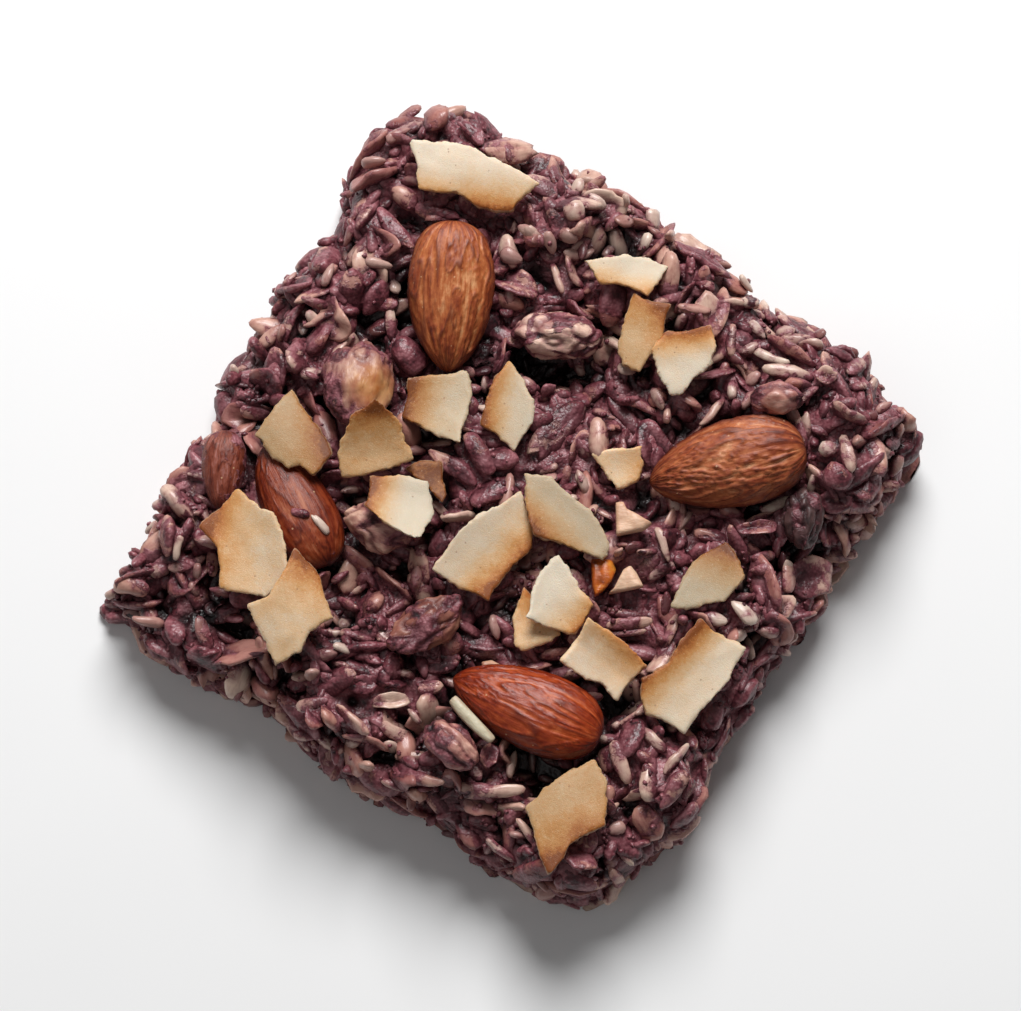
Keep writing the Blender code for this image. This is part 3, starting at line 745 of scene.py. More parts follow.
# How each kind is scattered: spacing, sizes and lift in mm, tilts in radians, and chances.
RULES = {
    "oat_flakes": BIG | dict(
        spacing=4.3, most=520, length=(7.0, 11.0), width=(4.0, 6.2), height=(1.1, 1.8), sits=0.2,
        tilt=0.20, roll=0.4, on_edge=0.12, lift=(0.2, 1.3), coat=(0.34, 0.25), patch_size=16,
        patch_shift=2.0, patch_from=-0.25, outside_patch=0.4, apart=1.4, below_spacing=1.2),
    "kernels": BIG | dict(
        spacing=4.7, most=520, length=(5.0, 9.5), width=(2.8, 4.8), height=(2.0, 3.2), sits=0.25,
        tilt=0.22, roll=0.4, on_edge=0.05, lift=(-0.1, 1.1), coat=(0.36, 0.25), patch_size=13,
        patch_shift=9.0, patch_from=-0.4, outside_patch=0.4, apart=2.3, below_spacing=1.4),
    "long_grains": SMALL | dict(
        spacing=4.2, most=420, length=(4.4, 7.0), width=(1.6, 2.4), height=(1.3, 2.0),
        tilt=0.25, roll=0.5, on_edge=0.1, lift=(0.0, 0.4), coat=(0.3, 0.25), patch_size=11,
        patch_shift=5.0, patch_from=-0.2, outside_patch=0.3, apart=1.7, below_spacing=1.5,
        on_others=0.35, avoids_clefts=0.7),
    "pale_seeds": SMALL | SEED_SIZE | dict(
        spacing=2.4, most=1400, length=(2.9, 4.3), tilt=0.35, roll=0.5, on_edge=0.1,
        lift=(0.0, 0.5), coat=(0.28, 0.25), patch_size=9, patch_shift=1.0, patch_from=0.05,
        outside_patch=0.10, apart=1.7, below_spacing=1.3, on_others=0.3, avoids_clefts=0.7),
    "dark_seeds": SMALL | SEED_SIZE | dict(
        spacing=3.4, most=800, length=(3.0, 4.4), tilt=0.4, roll=0.5, on_edge=0.15,
        lift=(-0.1, 0.3), coat=(0.55, 0.2), patch_size=8, patch_shift=7.0, patch_from=-0.05,
        outside_patch=0.2, apart=1.5, below_spacing=1.4, on_others=0.12, avoids_clefts=0.4),
}

# Where the small seeds lie thickest: x, y and radius in mm.
SEED_PATCHES = (
    (-38, -34, 9), (-7, -30, 10), (41, -37, 8), (40, 5, 8), (20, 39, 8), (-38, 9, 7),
    (-13, 38, 7), (19, -33, 6), (14, -22, 5), (34, 36, 6), (-40, -22, 6),
)
# Where pieces are paler and barer than elsewhere: x, y and radius in mm.
PALE_PATCHES = (
    (-16, 43, 8), (-2, 43, 8), (18, 41, 10), (36, 28, 6), (20, 2, 8), (36, 3, 6), (-43, 12, 5),
    (3, 12, 5), (3, -37, 6), (20, -36, 5), (-40, -28, 6), (38, -27, 7), (44, -19, 5), (-5, -11, 5),
)
PALER = 0.5
BARER = 0.2
SHAPES = {
    "oat_flakes": [flake_shape(s, curl=c, bend=b) for s, (c, b) in enumerate(
        ((0.3, 0.2), (-0.6, 0.2), (0.9, -0.2), (0.2, 0.5), (-0.4, -0.5), (1.1, 0.1),
         (-0.9, 0.2), (0.6, 0.4)))],
    "kernels": [kernel_shape(s + 20, t, b, 11, 7, rough=0.10, bend=c, groove=g)
                for s, (t, b, c, g) in enumerate(
        ((0.50, 0.45, 0.1, 0.0), (0.42, 0.40, 0.2, 0.2), (0.60, 0.42, -0.1, 0.0),
         (0.45, 0.50, 0.3, 0.3), (0.55, 0.38, 0.0, 0.15), (0.38, 0.38, -0.2, 0.0),
         (0.65, 0.45, 0.1, 0.25), (0.48, 0.42, 0.25, 0.0)))],
    "long_grains": [kernel_shape(s + 40, 0.42, 0.36, 8, 6, rough=0.05, bend=b, groove=0.3)
                    for s, b in enumerate((0.1, 0.35, -0.3, 0.55, -0.1, 0.2))],
    "pale_seeds": [kernel_shape(s + 60, 0.62, 0.40, 8, 5, rough=0.05) for s in range(6)],
    "dark_seeds": [kernel_shape(s + 80, 0.60, 0.42, 8, 5, rough=0.05) for s in range(6)],
}


# ---- Materials ----


class Value:
    """What a shader node gives out, which a formula can use."""

    def __init__(self, nodes, socket):
        self.nodes = nodes
        self.socket = socket

    def formula(self, operation, first, second):
        return self.nodes.add("ShaderNodeMath", 0, {0: first, 1: second}, operation=operation)

    def __add__(self, other):
        return self.formula("ADD", self, other)

    def __sub__(self, other):
        return self.formula("SUBTRACT", self, other)

    def __rsub__(self, other):
        return self.formula("SUBTRACT", other, self)

    def __mul__(self, other):
        return self.formula("MULTIPLY", self, other)

    def __pow__(self, other):
        return self.formula("POWER", self, other)


class Nodes:
    """Builds a material's nodes with short calls."""

    def __init__(self, name):
        self.material = bpy.data.materials.new(name)
        self.material.use_nodes = True
        self.tree = self.material.node_tree
        self.shader = self.tree.nodes["Principled BSDF"]

    def fill(self, node, inputs):
        """Links or sets a node's inputs."""
        for key, value in inputs.items():
            if isinstance(value, Value):
                self.tree.links.new(value.socket, node.inputs[key])
            else:
                node.inputs[key].default_value = value

    def add(self, kind, output, inputs, **settings):
        """The output of a new node with these inputs and settings."""
        node = self.tree.nodes.new(kind)
        for key, value in settings.items():
            setattr(node, key, value)
        self.fill(node, inputs)
        return Value(self, node.outputs[output])

    def layer(self, name, output="Fac"):
        return self.add("ShaderNodeAttribute", output, {}, attribute_name=name)

    def mapped(self, source, stretch, unit):
        scale = [share / unit for share in stretch]
        return self.add("ShaderNodeMapping", "Vector", {"Vector": source, "Scale": scale})

    def place(self, size, stretch=(1, 1, 1)):
        """Object coordinates in millimetres, divided by a size."""
        return self.mapped(self.add("ShaderNodeTexCoord", "Object", {}), stretch, MM * size)

    def local(self, size, stretch=(1, 1, 1)):
        """The piece's own coordinates in millimetres, divided by a size."""
        return self.mapped(self.layer("local", "Vector"), stretch, size)

    def noise(self, place, detail=3.0, rough=0.55, distortion=0.0):
        return self.add("ShaderNodeTexNoise", "Fac", {
            "Vector": place, "Scale": 1.0, "Detail": detail, "Roughness": rough,
            "Distortion": distortion})

    def cells(self, place, feature="F1"):
        return self.add("ShaderNodeTexVoronoi", "Distance", {"Vector": place, "Scale": 1.0},
                        feature=feature)

    def ramp(self, value, low, high):
        """0 below low and 1 above high, smoothly."""
        return self.add("ShaderNodeMapRange", "Result",
                        {"Value": value, "From Min": low, "From Max": high},
                        interpolation_type="SMOOTHSTEP")

    def colours(self, value, *stops):
        """Colours along a value, as (place, (red, green, blue)) pairs."""
        colour = self.add("ShaderNodeValToRGB", "Color", {"Fac": value})
        elements = colour.socket.node.color_ramp.elements
        for _ in range(len(stops) - 2):
            elements.new(0.5)
        for element, (place, stop) in zip(elements, stops):
            element.position = place
            element.color = (*stop, 1.0)
        return colour

    def mix(self, share, first, second, blend="MIX"):
        """Two colours, mixed or blended by a share."""
        first, second = [(*c, 1.0) if isinstance(c, tuple) else c for c in (first, second)]
        return self.add("ShaderNodeMix", 2, {0: share, 6: first, 7: second},
                        data_type="RGBA", blend_type=blend)

    def dimmed(self, share, colour, tint):
        """The colour times a tint, where the share is 1."""
        return self.mix(share, colour, tint, "MULTIPLY")

    def between(self, share, first, second):
        """A number that goes from the first to the second as the share rises."""
        return self.add("ShaderNodeMix", 0, {0: share, 2: first, 3: second}, data_type="FLOAT")

    def bump(self, height, distance):
        return self.add("ShaderNodeBump", "Normal", {
            "Height": height, "Distance": distance * MM, "Strength": 1.0})

    def finish(self, colour, roughness, normal=None, specular=0.5, subsurface=0.0, radius=1.0):
        inputs = {"Base Color": colour, "Roughness": roughness, "Specular IOR Level": specular}
        if normal:
            inputs["Normal"] = normal
        if subsurface:
            inputs["Subsurface Weight"] = subsurface
            inputs["Subsurface Radius"] = (1.0, 0.5, 0.3)
            inputs["Subsurface Scale"] = radius * MM
        self.fill(self.shader, inputs)
        return self.material


PASTE_DARK = (0.026, 0.007, 0.011)
PASTE_MID = (0.172, 0.041, 0.053)
PASTE_PALE = (0.390, 0.155, 0.172)
# The colour of the painted shade deep in the bar's hollows.
SHADE = (0.05, 0.04, 0.045)


def paste_colour(nodes, place_of):
    """The purple paste, its tone varying at random, with painted shade in its pores between paler,
    pinker grains.
    """
    # Painted shade: the cells darken the pores, where the paste's relief is lowest.
    value = nodes.noise(place_of(2.2), 4.0, 0.6) * 1.25 - nodes.cells(place_of(0.5)) * 0.22
    return nodes.colours(value, (0.25, PASTE_DARK), (0.48, PASTE_MID), (0.80, PASTE_PALE))


def paste_height(nodes, place_of):
    return (1.0 - nodes.cells(place_of(0.5))) * 0.35 + nodes.noise(place_of(1.2), 4.0)


def coated(nodes, mask, place_of, colour, relief, roughness, paste_roughness):
    """A surface's colour, relief and roughness, with paste where the mask is 1."""
    return (nodes.mix(mask, colour, paste_colour(nodes, place_of)),
            nodes.between(mask, relief, paste_height(nodes, place_of)),
            nodes.between(mask, roughness, paste_roughness))


def shaded(nodes, colour):
    """The colour darkened by painted shade where it lies deep under the bar's outer surface."""
    return nodes.dimmed(nodes.ramp(nodes.layer("deep"), 0.9, 3.4), colour, SHADE)


def paste_material():
    nodes = Nodes("fruit_paste")
    colour = shaded(nodes, paste_colour(nodes, nodes.place))
    roughness = nodes.between(nodes.noise(nodes.place(0.8)), 0.24, 0.54)
    return nodes.finish(colour, roughness, nodes.bump(paste_height(nodes, nodes.place), 0.3))


def piece_material(kind):
    """A seed, grain or flake, bare at its crest and coated with paste towards its foot."""
    nodes = Nodes(kind)
    streaks = nodes.noise(nodes.local(0.5, (0.25, 1, 1)), 4.0, 0.6)
    bare = nodes.colours(nodes.layer("tone"), *BARE[kind])
    bare = nodes.dimmed(nodes.ramp(streaks, 0.42, 0.72) * 0.35, bare, (0.58, 0.38, 0.38))
    amount = nodes.noise(nodes.place(2.2), 5.0, 0.65, 0.4) + nodes.layer("coat") * 0.46
    amount += nodes.ramp(nodes.layer("above"), 1.5, 0.1) * 0.30 + nodes.layer("rim") * 0.12
    stained = nodes.dimmed(nodes.ramp(amount, 0.56, 0.94), bare, (0.58, 0.34, 0.41))
    colour, relief, roughness = coated(nodes, nodes.ramp(amount, 0.77, 0.90), nodes.place,
                                       stained, streaks * 0.35, 0.32, 0.38)
    # Painted shade where the piece sinks into the paste, darker the lower it lies.
    contact_shade = nodes.ramp(nodes.layer("above"), 0.9, -0.2) * 0.80
    colour = nodes.dimmed(contact_shade, colour, (0.20, 0.12, 0.17))
    return nodes.finish(shaded(nodes, colour), roughness, nodes.bump(relief, 0.2))


BARE = {
    "oat_flakes": ((0.0, (0.31, 0.118, 0.108)), (0.35, (0.48, 0.225, 0.185)),
                   (0.7, (0.60, 0.350, 0.270)), (1.0, (0.66, 0.47, 0.370))),
    "kernels": ((0.0, (0.30, 0.105, 0.095)), (0.4, (0.51, 0.25, 0.195)),
                (0.75, (0.61, 0.370, 0.285)), (1.0, (0.67, 0.49, 0.390))),
    "long_grains": ((0.0, (0.35, 0.165, 0.15)), (0.5, (0.56, 0.33, 0.26)),
                    (0.85, (0.61, 0.415, 0.325)), (1.0, (0.66, 0.52, 0.420))),
    "pale_seeds": ((0.0, (0.31, 0.15, 0.14)), (0.4, (0.48, 0.28, 0.24)),
                   (0.75, (0.57, 0.385, 0.315)), (1.0, (0.65, 0.51, 0.420))),
    "dark_seeds": ((0.0, (0.09, 0.028, 0.033)), (0.4, (0.18, 0.070, 0.072)),
                   (0.8, (0.32, 0.155, 0.135)), (1.0, (0.46, 0.24, 0.19))),
}


# Colour at its darkest, middle and palest, gloss, and light that passes through.
BLOCK_LOOKS = {
    "nut_bits": ((0.40, 0.20, 0.13), (0.62, 0.36, 0.23), (0.76, 0.50, 0.34), 0.42, 0.10),
    "dried_fruit": ((0.20, 0.035, 0.008), (0.52, 0.115, 0.012), (0.70, 0.30, 0.04), 0.26, 0.30),
    "pale_sliver": ((0.44, 0.38, 0.25), (0.60, 0.54, 0.39), (0.70, 0.64, 0.48), 0.36, 0.10),
}


def block_material(name):
    dark, middle, pale, gloss, through = BLOCK_LOOKS[name]
    nodes = Nodes(name)
    fine = nodes.noise(nodes.local(0.35, (0.3, 1, 1)), 4.0, 0.6)
    value = nodes.noise(nodes.local(2.4), 3.0, 0.5, 0.3) * 0.75 + fine * 0.25
    value += (nodes.layer("tone") - 0.5) * 0.4
    colour = nodes.colours(value, (0.30, dark), (0.52, middle), (0.72, pale))
    # Painted shade towards the block's outline and underside.
    contact_shade = nodes.ramp(nodes.layer("rim"), 0.75, 1.0) * 0.45
    colour = nodes.dimmed(contact_shade, colour, (0.62, 0.40, 0.34))
    return nodes.finish(colour, gloss, nodes.bump(fine, 0.12), subsurface=through)


# ---- Almonds ----

ALMOND_AROUND = 150
ALMOND_ALONG = 90
ALMOND_TIP = 0.62
ALMOND_BLUNT = 0.40
# Depth of the wrinkles in mm, how far they wander, tint, roughness, sheen, share coated.
ALMOND_LOOKS = {
    "almond_1": (0.26, 0.7, (1.05, 1.05, 1.0), 0.42, 0.5, 0.02),
    "almond_2": (0.34, 1.4, (1.00, 1.00, 1.1), 0.46, 0.5, 0.04),
    "almond_3": (0.20, 1.1, (0.82, 0.44, 0.30), 0.28, 0.4, 0.09),
    "almond_4": (0.08, 0.8, (0.56, 0.35, 0.34), 0.34, 0.4, 0.11),
    "almond_5": (0.09, 1.0, (0.55, 0.46, 0.85), 0.38, 0.4, 0.22),
}
ALMOND_STOPS = ((0.28, (0.10, 0.013, 0.005)), (0.42, (0.27, 0.048, 0.011)),
                (0.56, (0.45, 0.125, 0.035)), (0.74, (0.74, 0.37, 0.175)))


def own_frame(points):
    """Middle, axes (long, wide, thick) and sizes of a node's form, wide end at +X."""
    middle = (points.min(0) + points.max(0)) / 2
    axes = np.linalg.eigh(np.cov((points - points.mean(0)).T))[1][:, ::-1].T
    if axes[2][2] < 0:
        axes[2] *= -1
    local = (points - middle) @ axes.T
    width = np.abs(local[:, 1])
    if width[local[:, 0] > 0].mean() < width[local[:, 0] < 0].mean():
        axes[0] *= -1
    axes[1] = np.cross(axes[2], axes[0])
    local = (points - middle) @ axes.T
    middle = middle + ((local.min(0) + local.max(0)) / 2) @ axes
    return middle, axes, np.ptp(local, axis=0)


def build_almond(name, seed):
    """A whole almond with its wrinkled skin, in its node's place."""
    wrinkle, wander, *skin = ALMOND_LOOKS[name]
    middle, axes, size = own_frame(node_mesh(name)[0])
    rows = np.arange(1, ALMOND_ALONG + 1)
    t = 0.5 - 0.5 * np.cos(np.pi * rows / (ALMOND_ALONG + 1))
    share = girth(t, ALMOND_TIP, ALMOND_BLUNT)
    angle = 2 * np.pi * np.arange(ALMOND_AROUND) / ALMOND_AROUND
    rings = np.empty((ALMOND_ALONG, ALMOND_AROUND, 3))
    rings[:, :, 0] = (t - 0.5)[:, None]
    rings[:, :, 1] = share[:, None] * np.cos(angle)
    rings[:, :, 2] = share[:, None] * np.sign(np.sin(angle)) * np.abs(np.sin(angle)) ** 0.92
    points, faces = closed_rings(rings, (-0.5, 0, 0), (0.5, 0, 0))
    points = points * size
    turned = np.arctan2(points[:, 2], points[:, 1])
    along = points[:, 0] / size[0]
    grain = np.stack([along * 2.4, np.cos(turned) * 2.6, np.sin(turned) * 2.6], 1)
    groove = np.empty(len(points))
    swell = np.empty(len(points))
    for i, spot in enumerate(grain):
        place = Vector(spot) + Vector((seed * 9.1, 0, 0))
        place += noise_push(place * 0.6) * wander
        coarse = noise.noise(place * 1.25)
        fine = noise.noise(place * 3.1 + Vector((4, 0, 0)))
        groove[i] = max(0.0, 1 - abs(coarse) * 8.0, 0.6 - abs(fine) * 5.0)
        swell[i] = 0.8 * coarse + 0.5 * fine
    fade = np.clip((0.5 - np.abs(along)) / 0.12, 0.15, 1)
    broad = noise_at(points, size[1] * 0.8, seed * 3.0)
    normals = normals_of(points, faces)
    shift = wrinkle * fade * (0.9 * swell - groove) + 0.16 * broad
    points = points + normals * shift[:, None]
    placed = points @ axes + middle
    material = almond_material("skin_of_" + name, *skin)
    new_piece("skin_" + name, placed, faces, material, "almond_skin", [name],
              local=grain * (3, 1, 1) + seed * 5.0, groove=groove, swell=swell,
              height=points[:, 2] / size[2])


def almond_material(name, tint, gloss, sheen, share_coated):
    """Brown skin with painted light and shade: tan on its swellings and towards its top, dark in its
    grooves and towards its underside.
    """
    nodes = Nodes(name)
    height = nodes.layer("height")
    streaks = nodes.noise(nodes.local(0.34, (0.30, 1, 1)), 6.0, 0.68)
    value = streaks * 0.52 + nodes.noise(nodes.place(1.1), 4.0, 0.6) * 0.34
    # Painted light and shade: paler on the swellings and towards the top, darker in the dips.
    value += nodes.layer("swell") * 0.20 + height * 0.18
    stops = [(place, tuple(np.multiply(colour, tint))) for place, colour in ALMOND_STOPS]
    colour = nodes.colours(value, *stops)
    # Painted shade in the grooves of the wrinkles.
    groove_shade = nodes.ramp(nodes.layer("groove"), 0.15, 0.9) * 0.75
    colour = nodes.dimmed(groove_shade, colour, (0.34, 0.20, 0.16))
    # Painted shade towards the underside.
    colour = nodes.dimmed(nodes.ramp(height, 0.32, -0.15), colour, (0.40, 0.26, 0.24))
    flecks = nodes.ramp(nodes.cells(nodes.place(2.1)), 0.085, 0.05)
    colour = nodes.mix(flecks * 0.55, colour, (0.72, 0.46, 0.26))
    smear = nodes.noise(nodes.place(2.0), 5.0, 0.65)
    mask = nodes.ramp(smear + height * -0.42 + share_coated, 0.64, 0.74)
    roughness = nodes.between(nodes.ramp(streaks, 0.3, 0.7), gloss, gloss + 0.14)
    colour, relief, roughness = coated(nodes, mask, nodes.place, colour, streaks * 0.55,
                                       roughness, 0.55)
    return nodes.finish(colour, roughness, nodes.bump(relief, 0.22), sheen, 0.03, 0.6)


# ---- Coated nuts and fruit ----

CHUNK_VOXEL = 0.36
# Bare colour at its darkest and palest, share coated, depth of the folds in mm, roughness.
CHUNK_LOOKS = {
    "nut_chunk": ((0.30, 0.13, 0.11), (0.58, 0.36, 0.27), 0.54, 0.35, 0.42),
    "walnut_piece": ((0.50, 0.25, 0.22), (0.84, 0.60, 0.46), 0.37, 0.55, 0.46),
    "pecan_piece": ((0.40, 0.19, 0.15), (0.72, 0.46, 0.34), 0.51, 0.60, 0.46),
    "almond_half": ((0.22, 0.08, 0.055), (0.46, 0.22, 0.145), 0.60, 0.50, 0.42),
    "date_piece": ((0.038, 0.019, 0.018), (0.14, 0.075, 0.068), 0.34, 0.80, 0.46),
    "cashew_piece": ((0.36, 0.13, 0.10), (0.70, 0.43, 0.34), 0.48, 0.30, 0.36),
    "coated_nut": ((0.38, 0.155, 0.13), (0.68, 0.40, 0.31), 0.58, 0.50, 0.40),
}
# Places without paste: x, y and radius in mm.
BARE_PATCHES = {
    "nut_chunk": ((-26.0, 2.2, 4.4), (-31.6, 1.8, 1.8), (-30.2, 4.6, 1.5)),
    "walnut_piece": ((-10.7, 23.5, 2.2), (-8.0, 21.9, 2.5), (-4.6, 24.3, 2.7)),
    "pecan_piece": ((-18.0, -15.6, 2.0), (-13.5, -18.4, 2.4)),
    "almond_half": ((-2.9, -25.7, 2.2), (-1.4, -20.4, 2.4), (3.8, -22.4, 2.2), (3.9, -25.9, 2.0)),
    "cashew_piece": ((26.0, 32.0, 2.4),),
    "coated_nut": ((10.9, -35.2, 1.7), (14.6, -36.4, 2.2)),
    "date_piece": (),
}
WALNUT_CELL = 4.4
AMBER_PATCH = (-25.6, 1.8, 4.0)
AMBER_DARK = (0.40, 0.130, 0.030)
AMBER_PALE = (0.60, 0.310, 0.130)


def chunk_material(name, dark, pale, share_coated, rough):
    nodes = Nodes("coat_" + name)
    streaks = nodes.noise(nodes.local(0.9, (0.35, 1, 1)), 4.0, 0.6, 0.5)
    bare = nodes.colours(streaks, (0.32, dark), (0.68, pale))
    amber = nodes.noise(nodes.place(3.2), 2.0)
    amber = nodes.colours(amber, (0.35, AMBER_DARK), (0.62, AMBER_PALE))
    bare = nodes.mix(nodes.layer("amber"), bare, amber)
    fold = nodes.layer("fold")
    amount = nodes.noise(nodes.local(2.4, (0.7, 1, 1)), 5.0, 0.66, 0.8) + fold * 0.20
    amount += share_coated
    amount -= nodes.layer("bare") * 0.36
    stained = nodes.dimmed(nodes.ramp(amount, 0.55, 1.0) * 0.8, bare, (0.60, 0.36, 0.44))
    if name == "walnut_piece":
        seams = nodes.cells(nodes.local(WALNUT_CELL, (0.55, 1, 1)), "DISTANCE_TO_EDGE")
        amount += nodes.ramp(seams, 0.14, 0.02) * 0.4
    colour, relief, roughness = coated(nodes, nodes.ramp(amount, 0.92, 1.08), nodes.local,
                                       stained, streaks * 0.4, rough, 0.52)
    # Painted shade in the folds.
    colour = nodes.dimmed(nodes.ramp(fold, 0.35, 0.9) * 0.6, colour, (0.30, 0.17, 0.22))
    return nodes.finish(colour, roughness, nodes.bump(relief, 0.3), 0.5, 0.05, 0.8)


def build_chunk(name, seed):
    """A coated nut or fruit piece with its folds."""
    dark, pale, share_coated, depth, rough = CHUNK_LOOKS[name]
    points, faces = remeshed(*node_mesh(name), CHUNK_VOXEL)
    edges = edges_of(faces)
    points = smoothed(points, edges, 5)
    middle, axes, _ = own_frame(points)
    local = (points - middle) @ axes.T
    fold = np.empty(len(points))
    for i, spot in enumerate(local):
        place = Vector((spot[0] / 4.5, spot[1] / 2.0, spot[2] / 2.4)) + Vector((seed * 4.3, 0, 0))
        fold[i] = 1 - 3.0 * abs(noise.noise(place))
    broad = noise_at(points, 2.6, seed * 2.0, 3)
    normals = normals_of(points, faces)
    shift = -depth * np.clip(fold, 0, 1) ** 2 + 0.35 * broad
    amber = patch_share(points, (AMBER_PATCH,) if name == "nut_chunk" else ())
    bare = patch_share(points, BARE_PATCHES[name])
    points = points + normals * (shift * (1 - 0.8 * amber))[:, None]
    material = chunk_material(name, dark, pale, share_coated, rough)
    new_piece("coated_" + name, points, faces, material, "coated_nut", [name],
              local=local + seed * 7.0, fold=fold * (1 - amber), bare=bare, amber=amber)


# ---- Coconut chips ----

CHIP_VOXEL = 0.3
CHIP_STOPS = ((0.0, (0.735, 0.63, 0.495)), (0.20, (0.715, 0.475, 0.270)),
              (0.44, (0.63, 0.315, 0.112)), (0.74, (0.49, 0.176, 0.042)),
              (1.0, (0.27, 0.075, 0.015)))
# The power of each chip's painted light (how brightly its tilt is lit) in each part of its colour, so
# that a dim chip is warmer.
CHIP_LIGHT = {"Red": 1.0, "Green": 1.05, "Blue": 1.25}
# Each chip: which way it is browned (degrees in plan, from its middle) and how much, how tan it is all
# over,
# and its painted light: how brightly it is lit, put into its colour.
TOASTED = (
    (300, 1.00, 0.02, 0.97), (290, 0.50, 0.00, 0.90), (80, 1.15, 0.26, 0.82), (130, 1.00, 0.00, 0.96),
    (195, 1.25, 0.06, 0.69), (200, 0.90, 0.02, 0.82), (20, 0.20, 0.16, 1.16), (40, 1.05, 0.24, 0.60),
    (0, 0.30, 0.86, 0.59), (122, 0.90, 0.28, 0.80), (200, 1.20, -0.06, 0.80), (205, 1.35, 0.14, 0.92),
    (100, 1.20, 0.16, 0.88), (347, 1.30, 0.06, 0.92), (257, 1.10, 0.04, 0.68), (90, 0.50, 0.22, 1.03),
    (350, 0.75, -0.02, 0.91), (77, 0.45, 0.12, 1.14), (167, 1.10, 0.04, 0.89), (110, 1.25, 0.08, 0.58),
    (330, 1.30, 0.28, 0.75),
)


def chip_material():
    nodes = Nodes("toasted_coconut")
    toast = nodes.layer("toast")
    fibres = nodes.noise(nodes.place(0.5, (1, 1, 0.4)), 5.0, 0.7)
    mottle = fibres - 0.5 + (nodes.noise(nodes.place(4.0), 4.0, 0.55) - 0.5)
    colour = nodes.colours(toast + mottle * (toast + 0.12), *CHIP_STOPS)
    # Painted light: each chip's colour is scaled by how brightly it is lit.
    light = nodes.add("ShaderNodeCombineColor", "Color", {
        part: nodes.layer("light") ** power for part, power in CHIP_LIGHT.items()})
    colour = nodes.mix(1.0, colour, light, "MULTIPLY")
    lip = nodes.ramp(nodes.layer("rim"), 0.25, 0.5) * 0.20
    colour = nodes.mix(lip, colour, (0.86, 0.70, 0.50), "SCREEN")
    grains = nodes.ramp(nodes.cells(nodes.place(0.55)), 0.20, 0.08) * 0.22
    colour = nodes.mix(grains, colour, (0.90, 0.76, 0.56))
    specks = nodes.ramp(nodes.cells(nodes.place(1.9)), 0.10, 0.05) * 0.5
    colour = nodes.mix(specks, colour, (0.25, 0.10, 0.04))
    height = fibres * 0.6 + nodes.noise(nodes.place(0.16), 2.0)
    return nodes.finish(colour, 0.46, nodes.bump(height, 0.07), 0.34, 0.20, 1.2)


def build_chip(name, toasted, material, seed):
    """A coconut chip with ragged edges, browned towards one side."""
    points, faces = remeshed(*node_mesh(name), CHIP_VOXEL)
    edges = edges_of(faces)
    points = smoothed(points, edges, 3, 0.5)
    normals = normals_of(points, faces)
    middle = points.mean(0)
    rim = np.clip(1.2 - np.abs(smoothed(normals[:, 2], edges, 2)) * 1.4, 0, 1)
    ragged = noise_at(points, 1.1, seed * 3.1, 3)
    outward = points[:, :2] - middle[:2]
    outward /= np.maximum(np.linalg.norm(outward, axis=1, keepdims=True), 1e-9)
    wavy = noise_at(points, 2.6, seed * 2.3 + 11.0)
    nicks = np.clip(noise_at(points, 1.5, seed * 5.3 + 40.0) - 0.28, 0, 1)
    points[:, :2] += outward * (rim * (0.26 * ragged + 0.40 * wavy - 1.5 * nicks))[:, None]
    points[:, 2] += 0.14 * noise_at(points, 3.5, seed * 1.7)

    angle, amount, base, light = toasted
    side = (points[:, :2] - middle[:2]) @ way_in_plan(angle)
    reach = side.max()
    toast = base + amount * (0.85 * np.exp(-(reach - side) / 1.8)
                             + 0.45 * np.clip(side / reach + 0.4, 0, 1.4) ** 2 / 2)
    toast += rim * (0.06 + 0.30 * np.clip(toast, 0, 1)) + 0.10 * toast * ragged
    new_piece("toasted_" + name, points, faces, material, "toasted_coconut", [name],
              toast=toast, rim=rim, light=np.full(len(points), light))


# ---- Paste between the pieces ----

# How far the paste may rise over the core, in mm.
PASTE_MOST = 3.6


def raise_paste(bed, heaps):
    """Lifts the core between the pieces that lie on it, so that they sit in paste."""
    tree = tree_of([heap[:2] for heap in heaps])
    height = np.zeros(len(bed.points))
    for i, (point, normal) in enumerate(zip(bed.points, bed.normals)):
        distance = tree.ray_cast(Vector(point + normal * REACH), Vector(-normal), REACH)[3]
        if distance is not None:
            height[i] = REACH - distance
    level = np.minimum(height, smoothed(height, bed.edges, 3)) - 0.25 - 2.0 * bed.cleft
    level += 0.6 * noise_at(bed.points, 6.0, 14.0)
    level = np.clip(smoothed(level, bed.edges, 1), 0, PASTE_MOST)
    level += 0.2 * noise_at(bed.points, 1.5, 4.0)
    level[bed.normals[:, 2] < DOWNWARD] *= 0.1
    points = bed.points + bed.normals * level[:, None]
    points[:, 2] = np.maximum(points[:, 2], 0.0)
    return points


def build_blocks(bed):
    """The broken nut pieces, the dried fruit and the pale sliver."""
    heaps = {}
    for seed, (kind, entries) in enumerate(BLOCKS.items()):
        shapes = [block_shape(entry[4], seed + k * 1.7) for k, entry in enumerate(entries)]
        heaps[kind] = Heap(shapes)
        for variant, (x, y, height, tone, _) in enumerate(entries):
            floor, normal = bed.level(x, y)
            turn = frame_on(np.array(normal) + (0, 0, 1.5), math.radians(BLOCK_TURN))
            place = np.array((x, y, floor + LANDMARK_LIFT + 0.35 * height))
            heaps[kind].add(variant, np.array((1, 1, height)), turn, place, tone, 0.0)
    x, y, z, heading, length, width = SLIVER
    sliver = Heap([kernel_shape(3, 0.20, 0.15, 16, 13, rough=0.02, bend=-0.5)])
    turn = frame_on((0, 0, 1), math.radians(heading))
    sliver.add(0, np.array((length, width, 1.4)), turn, np.array((x, y, z)), 0.5, 0.0)
    heaps["pale_sliver"] = sliver
    for kind, heap in heaps.items():
        points, faces, layers = heap.joined()
        new_piece(kind, points, faces, block_material(kind), "granola", **layers)


